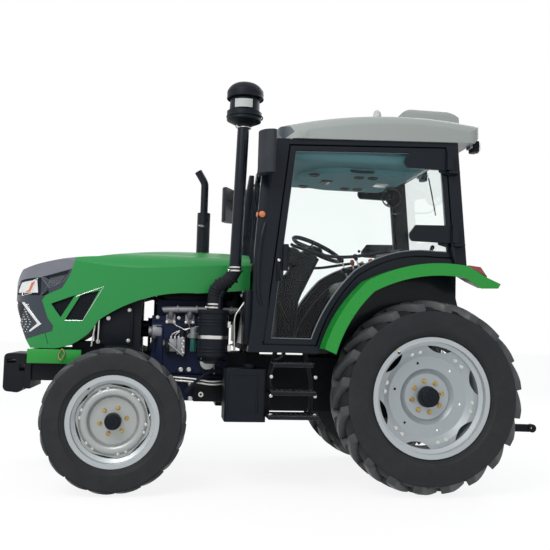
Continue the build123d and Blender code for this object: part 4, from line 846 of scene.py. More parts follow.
def meshLines(skin, facing, outline, slopes, pitch, radius, finish, lift):  # crossing wires over an outline
    parts = []
    middle = Vector((sum(p[0] for p in outline), sum(p[1] for p in outline))) / len(outline)
    reach = max((Vector(p) - middle).length for p in outline)
    for slope in slopes:
        along = Vector((math.cos(slope), math.sin(slope)))
        across = Vector((-along.y, along.x))
        for k in range(-int(reach / pitch), int(reach / pitch) + 1):
            centre = middle + across * pitch * k
            span = clipped(outline, centre - along * reach, centre + along * reach)
            if span and math.dist(*span) > pitch:
                parts.append(skinLine(skin, facing, span, radius, finish, lift, 0.06))
    return parts


def islands(name):  # the separate solids of a CAD node, each as points and faces
    shape = bmesh.new()
    shape.from_mesh(nodes[name].data)
    bmesh.ops.remove_doubles(shape, verts=shape.verts, dist=1e-5)
    left, found = set(shape.verts), []
    while left:
        group, front = set(), [left.pop()]
        while front:
            vert = front.pop()
            group.add(vert)
            for edge in vert.link_edges:
                other = edge.other_vert(vert)
                if other in left:
                    left.discard(other)
                    front.append(other)
        order = sorted(group, key=lambda v: v.index)
        place = {v: k for k, v in enumerate(order)}
        faces = {f for v in order for f in v.link_faces}
        found.append(([v.co.copy() for v in order],
                      [tuple(place[v] for v in f.verts) for f in sorted(faces, key=lambda f: f.index)]))
    shape.free()
    return sorted(found, key=lambda g: tuple(round(c, 3) for c in sum(g[0], Vector()) / len(g[0])))


def spanOf(points):  # the lowest and highest corner of some points
    return [Vector([pick(p[k] for p in points) for k in range(3)]) for pick in (min, max)]


def rimsOf(points, faces, y):  # the outlines of a flat plate's face at y, the widest first
    flat = [f for f in faces if all(abs(points[i].y - y) < 0.0005 for i in f)]
    sides = {(a, b) for f in flat for a, b in zip(f, f[1:] + f[:1])}
    onward = {a: b for a, b in sides if (b, a) not in sides}
    rings = []
    while onward:
        start = min(onward)
        ring, here = [start], onward.pop(start)
        while here != start and here in onward:
            ring.append(here)
            here = onward.pop(here)
        rings.append([(points[i].x, points[i].z) for i in ring])
    return sorted(rings, key=lambda ring: min(x for x, z in ring) - max(x for x, z in ring))


def shrunk(outline, inset):  # corners moved inwards along the mean of their two sides
    area = sum(p[0] * q[1] - q[0] * p[1] for p, q in zip(outline, outline[1:] + outline[:1]))
    sign = 1 if area > 0 else -1
    made = []
    for before, here, after in zip(outline[-1:] + outline[:-1], outline, outline[1:] + outline[:1]):
        sides = []
        for p, q in ((before, here), (here, after)):
            d = (Vector(q) - Vector(p)).normalized()
            sides.append(Vector((-d.y, d.x)) * sign)
        mean = sides[0] + sides[1]
        mean *= 1 / max(0.4, mean.dot(sides[0]))
        made.append(tuple(Vector(here) + mean * inset))
    return made


def boxAt(x, y, z, finish, soft=0.004):  # three spans, X measured from the rear axle
    return boxPart((rearHub.x + x[0], y[0], z[0]), (rearHub.x + x[1], y[1], z[1]), finish, soft)


def tubeAt(route, radius, finish, sides=3, bend=True, loop=False):
    return tubePart([at(*p) for p in route], radius, finish, sides, bend, loop)


def boltAt(place, axis, radius, height, finish="zincSteel", washer=True):
    return boltPart(at(*place), axis, radius, height, finish, washer)


def ringAt(place, axis, inner, outer, height, finish, steps=32):  # a band or washer
    return lathePart([(inner, 0), (outer, 0), (outer, height), (inner, height)], at(*place), axis, finish,
                     steps, True)


def rounded(outer, inner, tall, steps=6):  # a half-round bead for a lathe: its crest, its foot and its height
    return [(inner + (outer - inner) * math.sin(math.pi * k / steps),
             -tall / 2 * math.cos(math.pi * k / steps))
            for k in range(steps + 1)]


# ---- nose: cap slot, scale inserts, lamps, grilles, trim; X and Z from the rear axle ----
noseDetail = {
    "slot": [(2.539, 1.339), (2.351, 1.395), (2.362, 1.367), (2.535, 1.324)],
    "scales": [(2.535, 1.311), (2.373, 1.356), (2.415, 1.3), (2.538, 1.259)],
    "accent": [(2.539, 1.256), (2.46, 1.277), (2.385, 1.319), (2.346, 1.37)],
    "blade": [(2.657, 1.172), (2.64, 1.172), (2.524, 1.037), (2.515, 1.031), (2.59, 0.976), (2.596, 0.985),
              (2.542, 1.033), (2.657, 1.165)],
    "frontMesh": [(2.458, 1.166), (2.306, 1.226), (2.394, 1.08)],
    "rearMesh": [(2.364, 1.064), (2.268, 1.232), (2.15, 1.262), (2.25, 1.064)],
    "rearTrim": [(2.3, 1.218), (2.121, 1.29), (2.25, 1.06), (2.366, 1.058)],
    "lampFrame": [(2.668, 1.276), (2.557, 1.334), (2.597, 1.232), (2.664, 1.216)],
    "reflector": [(2.655, 1.28), (2.606, 1.305), (2.624, 1.268), (2.652, 1.252)],
    "amber": [(2.6, 1.302), (2.575, 1.312), (2.604, 1.243), (2.655, 1.226), (2.646, 1.24), (2.616, 1.256)],
    "frontLens": [(0.112, 1.238), (0.16, 1.302), (0.246, 1.318), (0.25, 1.238)],  # Y and Z
    "dashRows": (0.972, 1.168, 0.0165),  # lowest, highest and step in Z
    "dash": (0.015, 0.0045, 0.024),  # length, height, step across
    "dashWidth": (0.142, 0.958, 0.27),  # the rows' half width, at this height, and its growth with height
    "dashSides": (2.56, 1.033, 0.56, 2.69),  # a side row's start at this height, its slant, its end
    "wirePitch": 0.0115,
    "chinLine": [(2.49, 0.971), (2.468, 0.899)],
    "latch": [(2.373, 0.874), (2.4, 0.825), (2.378, 0.789), (2.353, 0.832), (2.363, 0.862)],
    "struts": (((2.144, 1.069), (2.146, 0.922)), ((2.169, 1.032), (2.187, 0.891))),
    "sideY": 0.29,
}


def makeNose():
    user = noseDetail
    mask, mesh, lamp = skinOf("nose_mask"), skinOf("nose_grilles"), skinOf("headlamps", "nose_mask")
    shell = skinOf("hood_shell", "nose_mask", "nose_grilles")
    trim = [skinPatch(mask, "side", fromAxle(user["slot"]), 0.0015, 0.004, "meshBlack"),
            skinPatch(mask, "side", fromAxle(user["scales"]), 0.0012, 0.004, "scaleGrey"),
            skinPatch(shell, "side", fromAxle(user["blade"]), 0.005, 0.008, "chromeTrim"),
            skinLine(mask, "side", fromAxle(user["accent"]), 0.0016, "capGrey", 0.0006),
            skinLine(shell, "side", fromAxle(user["rearTrim"]), 0.0024, "chromeTrim", 0.001),
            skinLine(shell, "side", fromAxle(user["frontMesh"]), 0.0016, "meshBlack", 0.001, loop=True)]
    trim += meshLines(mask, "side", fromAxle(user["scales"]), (0.5, 2.4), 0.0095, 0.001, "capGrey", 0.0018)
    piece("noseTrim", "hood", bothSides(trim))

    wires = []
    for name in ("frontMesh", "rearMesh"):
        wires += meshLines(mesh, "side", fromAxle(user[name]), (0.6, 1.65, 2.7), user["wirePitch"], 0.0013,
                           "plasticBlack", 0.0012)
    piece("noseWires", "hood", bothSides(wires))

    lowest, highest, step = user["dashRows"]
    length, tall, across = user["dash"]
    wide, foot, growth = user["dashWidth"]
    corner, cornerZ, slant, last = user["dashSides"]
    dashes = []
    for k in range(int((highest - lowest) / step) + 1):
        z = lowest + step * k
        half = wide + (z - foot) * growth
        count = int((half - length / 2) / across)
        for j in range(-count, count + 1):
            y = across * (j + 0.5 * (k % 2))
            if abs(y) + length / 2 < half:
                outline = [(y - length / 2, z), (y + length / 2, z), (y + length / 2, z + tall),
                           (y - length / 2, z + tall)]
                dashes.append(skinPatch(mesh, "front", outline, 0.0035, 0.005, "scaleGrey", 1))
    sides = []
    for k in range(int((highest - lowest) / step) + 1):  # the grille's wrapped sides, ahead of the blades
        z = lowest + step * k
        first = corner + abs(z - cornerZ) * slant
        count = int((last - first) / (across * 0.62))
        for j in range(count):
            x = rearHub.x + first + 0.012 + across * 0.62 * j
            outline = [(x, z), (x + length * 0.55, z + 0.003), (x + length * 0.55, z + 0.003 + tall),
                       (x, z + tall)]
            sides.append(skinPatch(mask, "side", outline, 0.0018, 0.004,
                                   "lampSilver" if j % 2 else "scaleGrey", 1))
    piece("grilleDashes", "hood", dashes + bothSides(sides))

    lights = [skinPatch(lamp, "side", fromAxle(user["reflector"]), 0.0022, 0.004, "lampSilver", 0.02),
              skinPatch(lamp, "side", fromAxle(user["amber"]), 0.0026, 0.004, "amberLens", 0.02),
              skinLine(lamp, "side", fromAxle(user["lampFrame"]), 0.0034, "chromeTrim", 0.001, 0.02,
                       loop=True),
              skinPatch(lamp, "front", user["frontLens"], 0.0022, 0.004, "lampSilver", 0.03),
              skinLine(lamp, "front", user["frontLens"], 0.003, "chromeTrim", 0.0015, 0.02, loop=True)]
    piece("headlampTrim", "hood", bothSides(lights))

    y = user["sideY"]
    chin = skinOf("lower_front_panel", "hood_shell", "nose_mask")
    skirt = [boxAt((2.252, 2.598), (0.268, 0.275), (0.772, 0.866), "panelGreen", 0.003)]
    piece("chinSkirt", "tractor", bothSides(skirt))
    low = [skinLine(chin, "side", fromAxle(user["chinLine"]), 0.0014, "meshBlack", 0.0002)]
    piece("chinLine", "hood", bothSides(low))
    rods = [tubeAt([(x, y, z) for x, z in user["latch"]], 0.0042, "brassBolt", 3, True, True)]
    for (x0, z0), (x1, z1) in user["struts"]:
        rods.append(tubeAt([(x0, y, z0), (x1, y, z1)], 0.006, "zincSteel", 3, False))
    piece("latchesAndStays", "tractor", bothSides(rods))


# ---- engine bay ----
engineDetail = {
    "manifold": (1.197, 1.73, 1.158, 0.021),  # start, end, height, radius
    "ports": (1.305, 1.424, 1.543, 1.673),
    "pump": (1.57, 1.709, 0.838, 0.967),
    "filter": (1.5155, 0.873, 0.962, 1.038, 0.0225),  # X, foot, cap foot, cap top, radius
    "sump": (1.288, 1.502, 0.53, 0.665),
    "sidePanel": (1.925, 2.174, 0.909, 1.168),
    "headBolts": (1.33, 0.072, 7),  # first X, step, count
    "sumpBolts": [(1.592, 0.746), (1.537, 0.747), (1.524, 0.646), (1.521, 0.549)],
    # ribs cast on the block: X span, Z span, height, edge
    "ribs": [((1.275, 1.795), (0.69, 0.708), 0.008, 0.002), ((1.28, 1.79), (1.072, 1.084), 0.006, 0.002),
             ((1.31, 1.36), (0.86, 1.05), 0.016, 0.006), ((1.72, 1.77), (0.76, 1.04), 0.014, 0.006),
             ((1.44, 1.485), (0.83, 1.045), 0.01, 0.006)],
    "dipstick": [(1.405, 0.2, 1.1), (1.4, 0.235, 0.98), (1.372, 0.245, 0.86), (1.365, 0.225, 0.72)],
    # radius, finish, sides, route
    "hoses": [
        (0.011, "hoseBlack", 3, [(1.558, 0.3, 0.6), (1.499, 0.3, 0.671), (1.405, 0.295, 0.739),
                                 (1.318, 0.285, 0.757),
                                 (1.25, 0.27, 0.76)]),
        (0.026, "hoseBlack", 5, [(1.745, 0.05, 0.955), (1.8, 0.03, 0.985), (1.88, 0.02, 0.985),
                                 (1.945, 0.01, 0.985)]),
        (0.01, "hoseBlack", 3, [(1.76, 0.2, 0.962), (1.785, 0.235, 0.94), (1.8, 0.235, 0.905),
                                (1.807, 0.2, 0.876)]),
        (0.022, "hoseBlack", 5, [(1.7, 0.1, 1.19), (1.76, 0.11, 1.235), (1.83, 0.12, 1.25),
                                 (1.9, 0.12, 1.25)]),
        (0.0055, "hoseBlack", 3, [(1.28, 0.24, 1.02), (1.34, 0.262, 1.035), (1.45, 0.262, 1.02),
                                  (1.56, 0.25, 1.04),
                                  (1.6, 0.21, 1.05)]),
        (0.0048, "copperPipe", 2, [(1.24, 0.25, 0.93), (1.33, 0.275, 0.9), (1.42, 0.268, 0.885),
                                   (1.47, 0.24, 0.87)]),
        (0.007, "zincSteel", 2, [(1.2, 0.26, 0.7), (1.35, 0.285, 0.665), (1.5, 0.265, 0.69),
                                 (1.72, 0.255, 0.7),
                                 (1.92, 0.25, 0.75)]),
        (0.007, "zincSteel", 2, [(1.2, 0.26, 0.68), (1.35, 0.285, 0.645), (1.5, 0.265, 0.67),
                                 (1.72, 0.255, 0.68),
                                 (1.92, 0.25, 0.73)]),
    ],
    "belt": [(0, 0.723), (0.055, 0.745), (0.186, 0.985), (0.165, 1.03), (0, 1.1), (-0.052, 1.05),
             (-0.078, 0.81), (-0.05, 0.74)],
    "coverBolts": [(2.087, 1.081, 0.01), (2.149, 0.924, 0.01), (1.95, 1.14, 0.009), (1.95, 0.935, 0.009)],
                # X, Z, radius
}


def makeEngine():
    user = engineDetail
    face = 0.19  # half width of the block
    start, end, z, r = user["manifold"]
    parts = [tubeAt([(start, 0.222, z), (end - 0.02, 0.222, z), (end, 0.222, z - 0.01)], r, "castGrey", 5)]
    for k, x in enumerate(user["ports"]):
        parts += [tubeAt([(x, 0.222, z), (x, 0.215, z - 0.045), (x, face - 0.01, z - 0.065)], 0.019,
                         "castGrey", 5),
                  boxAt((x - 0.032, x + 0.032), (face, face + 0.01), (z - 0.1, z - 0.034), "castGrey"),
                  boxAt((x - 0.034, x + 0.034), (face, face + 0.004), (z - 0.103, z - 0.03), "gasketRed", 0)]
        for dx in (-0.024, 0.024):
            parts.append(boltAt((x + dx, face + 0.01, z - 0.09), alongY, 0.0075, 0.008))
        parts.append(ringAt((x - 0.05, 0.222, z), alongX, r, r + 0.006, 0.012, "castGrey"))
    piece("intakeManifold", "tractor", parts)

    x0, x1, z0, z1 = user["pump"]
    middle = (z0 + z1) / 2
    parts = [boxAt((x0, x0 + 0.055), (face, 0.262), (z0 + 0.012, z1), "castGrey", 0.008),
             boxAt((x0 + 0.055, x1 - 0.03), (face, 0.245), (z0 + 0.03, z1 - 0.012), "castGrey", 0.006),
             lathePart([(0, 0), (0.052, 0), (0.052, 0.018), (0.03, 0.024), (0, 0.024)],
                       at(x1 - 0.03, 0.215, middle), alongX, "castBlack"),
             lathePart([(0, 0), (0.024, 0), (0.024, 0.05), (0.018, 0.056), (0, 0.056)],
                       at(x0 + 0.02, 0.235, z1 - 0.005), alongZ, "castBlack"),
             tubeAt([(1.682, 0.268, 0.923), (1.579, 0.268, 0.842)], 0.006, "zincSteel", 3, False)]
    for k in range(4):  # high pressure pipes
        x = x0 + 0.018 + 0.026 * k
        parts += [lathePart([(0, 0), (0.0085, 0), (0.0085, 0.018), (0, 0.018)], at(x, 0.24, z1 - 0.012),
                            alongZ, "zincSteel", 6),
                  tubeAt([(x, 0.24, z1), (x, 0.246, z1 + 0.03),
                          (x - 0.02 - 0.055 * k, 0.25, z1 + 0.05 + 0.01 * k),
                          (1.66 - 0.11 * k, 0.225, 1.055), (1.66 - 0.11 * k, 0.2, 1.085)], 0.0032,
                         "zincSteel", 2)]
    for k in range(6):
        parts.append(boltAt((x0 + 0.01 + 0.008 * (k % 2), 0.262, z0 + 0.024 + 0.02 * k), alongY, 0.006,
                            0.006))
    piece("fuelPump", "tractor", parts)

    x, foot, shoulder, top, r = user["filter"]
    parts = [lathePart([(0, 0), (r - 0.004, 0), (r, 0.006), (r, shoulder - foot - 0.004),
                        (r - 0.003, shoulder - foot), (0, shoulder - foot)],
                       at(x, 0.27, foot), alongZ, "filterGreen"),
             lathePart([(0, 0), (r + 0.009, 0), (r + 0.009, 0.03), (r + 0.003, 0.036),
                        (r + 0.003, top - shoulder - 0.01),
                        (r - 0.008, top - shoulder), (0, top - shoulder)], at(x, 0.27, shoulder), alongZ,
                       "castGrey"),
             boxAt((x - 0.045, x + 0.045), (face, 0.268), (shoulder + 0.005, shoulder + 0.045), "castGrey"),
             tubeAt([(x - 0.02, 0.275, shoulder + 0.05), (x - 0.07, 0.285, shoulder + 0.06),
                     (x - 0.1, 0.26, shoulder + 0.02),
                     (x - 0.09, 0.215, shoulder - 0.06)], 0.006, "hoseBlack"),
             tubeAt([(x + 0.02, 0.275, shoulder + 0.05), (x + 0.06, 0.27, shoulder + 0.03),
                     (x0, 0.255, z1 - 0.03)], 0.006, "hoseBlack")]
    parts.append(lathePart([(0, 0), (0.046, 0), (0.05, 0.006), (0.05, 0.078), (0.046, 0.084), (0, 0.084)],
                           at(1.415, face, 0.8), alongY, "filterWhite"))
    parts.append(ringAt((1.415, face, 0.8), alongY, 0.03, 0.056, 0.012, "castBlack"))
    piece("filters", "tractor", parts)

    sx0, sx1, sz0, sz1 = user["sump"]
    parts = [boxAt((sx0, sx1), (face - 0.02, face + 0.012), (sz0, sz1), "castBlack", 0.006)]
    for bx, bz in user["sumpBolts"]:
        parts.append(boltAt((bx, face, bz), alongY, 0.011, 0.012))
    parts.append(ringAt((1.45, face + 0.012, 0.579), alongY, 0.008, 0.018, 0.008, "zincSteel"))
    x, step, count = user["headBolts"]
    bolt = boltPart(at(x, face, 1.098), alongY, 0.0085, 0.01, "zincSteel")
    parts.append(rowOf(bolt, count, (step, 0, 0)))
    for z in (0.735, 0.655):  # pan rail bolts
        parts.append(rowOf(boltPart(at(1.3, face, z), alongY, 0.0065, 0.008, "castBlack"), 10, (0.054, 0, 0)))
    parts += [boxAt(x, (face, face + tall), z, "castBlue", edge) for x, z, tall, edge in user["ribs"]]
    for k in range(4):  # core plugs
        parts.append(lathePart([(0, 0.001), (0.018, 0.001), (0.021, 0.006), (0.024, 0.006), (0.024, 0),
                                (0, 0)],
                               at(1.385 + 0.115 * k, face, 0.925), alongY, "castGrey", 24))
    parts.append(tubeAt(user["dipstick"], 0.006, "zincSteel"))
    parts.append(lathePart([(0, 0), (0.014, 0), (0.016, 0.012), (0, 0.016)], at(1.405, 0.2, 1.1), alongZ,
                           "gripYellow", 16))
    piece("engineFittings", "tractor", parts)

    hoses = [tubeAt(route, radius, finish, sides) for radius, finish, sides, route in user["hoses"]]
    for x in (1.775, 1.872):
        hoses.append(ringAt((x, 0.11, 1.245), alongX, 0.021, 0.025, 0.01, "zincSteel"))
    upper = hoses[3:4]  # the upper radiator hose, on both sides
    piece("engineHoses", "tractor", bothSides(upper) + hoses)

    # rocker cover, intake plenum, and a dark sheet on the far side as painted shade under the hood
    parts = [boxAt((1.3, 1.77), (-0.105, 0.105), (1.195, 1.285), "castBlack", 0.018),
             boxAt((1.285, 1.785), (-0.12, 0.12), (1.195, 1.212), "castBlack", 0.004),
             lathePart([(0, 0), (0.03, 0), (0.032, 0.006), (0.028, 0.024), (0, 0.024)], at(1.7, 0, 1.283),
                       alongZ, "gripYellow", 24),
             boxAt((1.2, 1.29), (-0.14, 0.15), (1.08, 1.31), "plasticBlack", 0.012),
             # thin dark sheet on the far side: painted shade where the inside of the hood lies in shadow
             boxAt((1.21, 1.8), (-0.238, -0.232), (1.06, 1.3), "castBlack", 0.002),
             tubeAt([(1.255, 0.12, 1.25), (1.3, 0.19, 1.262), (1.36, 0.3, 1.262), (1.39, 0.38, 1.262)],
                    0.03, "hoseBlack", 5)]
    parts.append(rowOf(boltPart(at(1.34, 0, 1.285), alongZ, 0.008, 0.008, "zincSteel"), 3, (0.13, 0, 0)))
    parts.append(rowOf(boxPart(at(1.32, -0.09, 1.284), at(1.328, 0.09, 1.29), "castBlack", 0.001), 9,
                       (0.05, 0, 0)))
    piece("engineTop", "tractor", parts)

    # crank pulley, belt, alternator at the front of the block
    parts = [lathePart([(0, 0), (0.075, 0), (0.075, 0.01), (0.066, 0.016), (0.075, 0.022), (0.075, 0.032),
                        (0.03, 0.032), (0, 0.03)],
                       at(1.8, 0, 0.8), alongX, "castBlack"),
             lathePart([(0, 0), (0.055, 0), (0.055, 0.008), (0.047, 0.014), (0.055, 0.02), (0.055, 0.028),
                        (0, 0.028)],
                       at(1.803, 0, 1.04), alongX, "castBlack"),
             lathePart([(0, -0.06), (0.058, -0.06), (0.062, -0.05), (0.062, 0.0), (0.055, 0.008),
                        (0.034, 0.008), (0.034, 0.03), (0, 0.03)],
                       at(1.79, 0.15, 1.0), alongX, "castGrey")]
    parts.append(tubeAt([(1.818, y, z) for y, z in user["belt"]], 0.007, "hoseBlack", 2, True, True))
    piece("beltDrive", "tractor", parts)

    # side covers of the radiator, with their bolts, and its core
    px0, px1, pz0, pz1 = user["sidePanel"]
    parts = [boxAt((px0, px1), (0.247, 0.254), (pz0, pz1), "chassisBlack", 0.003),
             boxAt((px0, px0 + 0.012), (0.254, 0.262), (pz0, pz1), "chassisBlack", 0.002),
             boxAt((px1 - 0.012, px1), (0.254, 0.262), (pz0, pz1), "chassisBlack", 0.002)]
    parts += [boltAt((x, 0.254, z), alongY, radius, radius - 0.001) for x, z, radius in user["coverBolts"]]
    piece("radiatorSides", "tractor", bothSides(parts))
    fins = rowOf(boxPart((rearHub.x + 1.866, -0.215, 0.83), (rearHub.x + 1.87, 0.215, 0.8315),
                         "radiatorFin", 0), 44, (0, 0, 0.0095))
    caps = [lathePart([(0, 0), (0.03, 0), (0.03, 0.012), (0.022, 0.018), (0, 0.018)], at(1.985, 0, 1.33),
                      alongZ, "zincSteel", 24)]
    piece("radiatorCore", "tractor", [fins] + caps)


# ---- air cleaner, its elbow, pre-cleaner, exhaust ----
airDetail = {
    "axis": (1.395, 0.44), "radius": 0.096, "foot": 0.815, "top": 1.15,
    "elbow": [(1.395, 0.44, 1.15), (1.395, 0.44, 1.25), (1.375, 0.455, 1.31), (1.29, 0.485, 1.36),
              (1.262, 0.5, 1.43)],
    "label": (2.478, 2.534), "clampHeight": 2.366,
}


def makeAirIntake():
    user = airDetail
    x, y = user["axis"]
    r, foot, top = user["radius"], user["foot"], user["top"]
    rib = rounded(r + 0.004, r - 0.002, 0.014)
    parts = [rowOf(lathePart(rib, at(x, y, foot + 0.045), alongZ, "plasticBlack", 48, True), 3,
                   (0, 0, 0.022)),
             rowOf(lathePart(rib, at(x, y, top - 0.095), alongZ, "plasticBlack", 48, True), 3, (0, 0, 0.02)),
             ringAt((x, y, foot + 0.15), alongZ, r - 0.001, r + 0.003, 0.022, "zincSteel", 48),
             lathePart([(0, 0), (r + 0.006, 0), (r + 0.008, 0.004), (r + 0.008, 0.02), (r + 0.002, 0.026),
                        (0, 0.026)],
                       at(x, y, top - 0.02), alongZ, "plasticBlack", 48),
             lathePart([(0, -0.012), (0.05, -0.012), (0.062, 0), (r - 0.004, 0.004), (r, 0.012)],
                       at(x, y, foot), alongZ, "plasticBlack", 48)]
    for dx, dz in ((-0.114, 0.246), (-0.118, 0.091), (0.0, 0.02)):
        parts += [boxAt((x + dx, x + dx + 0.022), (y - 0.012, y + 0.03),
                        (foot + dz - 0.02, foot + dz + 0.02), "zincSteel", 0.003)]
    parts.append(tubeAt([(x - 0.04, 0.5, 0.861), (x - 0.021, 0.512, 0.825), (x - 0.018, 0.512, 0.795),
                         (x - 0.05, 0.506, 0.8),
                         (x - 0.055, 0.5, 0.84)], 0.003, "hoseBlack", 2))
    piece("airCleanerDetail", "tractor", parts)

    route = user["elbow"]
    elbow = [tubeAt(route, 0.045, "hoseBlack", 8)]
    curve = [at(*p) for p in route]
    for k in range(2):
        elbow.append(ringAt((x, y, top + 0.014 + 0.022 * k), alongZ, 0.043, 0.048, 0.011, "zincSteel", 40))
    for k in range(7):  # convolutions along the bend
        t = 0.3 + 0.075 * k
        place, ahead = alongBend(curve, t), alongBend(curve, t + 0.01) - alongBend(curve, t)
        elbow.append(lathePart(rounded(0.05, 0.042, 0.014), place, ahead, "hoseBlack", 40, True))
    for k in range(2):
        elbow.append(ringAt((1.262, 0.5, 1.408 + 0.022 * k), alongZ, 0.043, 0.048, 0.01, "zincSteel", 40))
    elbow += [boxAt((x + 0.044, x + 0.058), (y + 0.006, y + 0.02), (top + 0.012, top + 0.028), "zincSteel",
                    0.002),
              boxAt((1.3, 1.316), (0.506, 0.522), (1.406, 1.422), "zincSteel", 0.002)]
    elbow.append(tubeAt([(1.186, 0.44, 1.22), (1.235, 0.44, 1.15), (1.256, 0.44, 1.112),
                         (1.254, 0.44, 1.02), (1.25, 0.44, 0.89)],
                        0.007, "zincSteel", 3))
    piece("intakeElbow", "tractor", elbow)

    low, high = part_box("pre_cleaner")
    cx, cy = (low.x + high.x) / 2, (low.y + high.y) / 2
    half = (high.x - low.x) / 2
    z0, z1 = user["label"]
    bowl = [lathePart(rounded(half + 0.0015, half - 0.004, 0.012), Vector((cx, cy, z)), alongZ,
                      "plasticBlack", 64, True)
            for z in (2.44, 2.566)]
    bowl += [ringAt((cx - rearHub.x, cy, user["clampHeight"]), alongZ, 0.037, 0.046, 0.014, "zincSteel", 40),
             boxAt((cx - rearHub.x + 0.035, cx - rearHub.x + 0.055), (cy + 0.012, cy + 0.028),
                   (2.364, 2.384), "zincSteel", 0.002)]
    vane = boxPart((cx + half - 0.02, cy - 0.002, 2.585), (cx + half - 0.002, cy + 0.002, 2.617),
                   "plasticBlack", 0)
    bowl.append(ringAboutZ(vane, 30))
    label = []
    for k in range(13):  # bare plate on the side that faces out
        a = math.radians(52 + 56 * k / 12)
        for z in (z0, z1):
            for lift in (0.0006, 0.0018):
                label.append(Vector((cx + (half + lift) * math.cos(a), cy + (half + lift) * math.sin(a), z)))
    faces = []
    for k in range(12):
        a, b = 4 * k, 4 * k + 4
        faces += [(a + 1, b + 1, b + 3, a + 3), (a, a + 2, b + 2, b), (a + 2, a + 3, b + 3, b + 2),
                  (a, b, b + 1, a + 1)]
    faces += [(0, 1, 3, 2), (48, 50, 51, 49)]
    bowl.append((label, faces, "labelPale"))
    piece("preCleanerDetail", "tractor", bowl)


def alongBend(route, share):  # a point on a route, by its share of the route's stretches
    here = share * (len(route) - 1)
    k = int(here)
    return route[k].lerp(route[k + 1], here - k)


def ringAboutZ(part, count):  # copies turned about the part's own vertical centre line
    low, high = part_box("pre_cleaner")
    middle = (low + high) / 2
    turn = Matrix.Rotation(math.pi / 2, 4, "X")
    flat = Matrix.Translation((middle.x, middle.y, 0))
    return moved(repeated("ring", moved(part, turn.inverted() @ flat.inverted()), count), flat @ turn)


# bands by share of the stack's height
stackDetail = {"bands": (0.1, 0.3, 0.62), "height": 0.016, "depth": 0.003}


def makeExhaust():
    tall, deep = stackDetail["height"], stackDetail["depth"]
    low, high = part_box("exhaust_stack")
    middle = (low + high) / 2
    x = middle.x - rearHub.x
    skin = skinOf("exhaust_stack")
    parts = []
    for share in stackDetail["bands"]:
        z = low.z + (high.z - low.z) * share
        radius = abs(skin.find_nearest(Vector((middle.x, high.y + 0.3, z)))[0].y - middle.y)
        parts += [ringAt((x, middle.y, z), alongZ, radius - 0.001, radius + deep, tall, "castGrey", 48),
                  boltAt((x + 0.012, middle.y + radius + deep, z + tall / 2), alongX, 0.006, tall,
                         "zincSteel", False)]
    piece("exhaustBands", "tractor", parts)


# ---- wheel bolts, hub caps, valves ----
# plate bolts: radius, count, size; lobe bolts: radius, degrees off the lobe's middle, size; hub cap: radius,
# depth; valve: radius
lobeSetup = {"turn": 48, "count": 6}  # degrees to the first lobe, lobes
valveSetup = {"turn": 0.9, "route": [(0, 0, 0), (0, 0.014, 0), (0.006, 0.026, 0.004), (0.014, 0.04, 0.01)]}
wheelRows = {
    "rear": {"plate": (0.102, 8, 0.0125), "lobe": (0.298, 5.5, 0.0105), "cap": (0.062, 0.04), "valve": 0.362},
    "front": {"plate": (0.083, 6, 0.0105), "lobe": (0.2, 7.0, 0.0075), "cap": (0.047, 0.034), "valve": 0.252},
}


def makeWheelDetail():
    for end, user in wheelRows.items():
        middle = sum(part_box(f"{end}_rim_left"), Vector()) / 2
        skin = skinOf(f"{end}_rim_left")
        hub = Vector((middle.x, 0, middle.z))

        def faceY(radius, angle):
            return onSkin(skin, "side", hub.x + radius * math.cos(angle), hub.z - radius * math.sin(angle)).y

        parts = []
        radius, count, size = user["plate"]
        bolt = boltPart(Vector((radius, faceY(radius, 0.2), 0)), alongY, size, size * 0.9, "brassBolt")
        parts.append(ringOf(bolt, count, hub, 0.2))
        radius, spread, size = user["lobe"]
        for turn in (math.radians(lobeSetup["turn"] - spread), math.radians(lobeSetup["turn"] + spread)):
            bolt = boltPart(Vector((radius, faceY(radius, turn), 0)), alongY, size, size * 0.9, "zincSteel")
            parts.append(ringOf(bolt, lobeSetup["count"], hub, turn))
        capR, deep = user["cap"]
        y = faceY(0.004, 0)
        dome = [(capR, 0), (capR, deep * 0.6), (capR * 0.93, deep * 0.85), (capR * 0.78, deep),
                (capR * 0.3, deep), (capR * 0.26, deep * 1.12),
                (0, deep * 1.12)]
        parts.append(lathePart(dome, Vector((hub.x, y - 0.004, hub.z)), alongY, "plasticBlack", 48))
        small = boltPart(Vector((capR * 0.86, y + deep * 0.78, 0)), alongY, 0.0045, 0.006, "castBlack", False)
        parts.append(ringOf(small, 8, hub, 0.1))
        away, turn = user["valve"], valveSetup["turn"]
        place = Vector((hub.x + away * math.cos(turn), faceY(away, -turn), hub.z + away * math.sin(turn)))
        parts += [tubePart([place + Vector(p) for p in valveSetup["route"]], 0.0042, "brassBolt", 3),
                  lathePart([(0, 0), (0.009, 0), (0.007, 0.01), (0, 0.01)], place, alongY, "hoseBlack", 16)]
        for side, matrix in (("left", Matrix.Identity(4)), ("right", mirrorY)):
            piece(f"{end}WheelBolts_{side}", f"{end}_wheel_{side}", [moved(p, matrix) for p in parts])


# ---- lamps: beacon, work lamps, turn lamps, tail wedges, each in its solid's place ----
lampFloors = {"beacon": 2.45, "work": 2.2, "turn": 1.6}  # a lamp above this height is of this kind


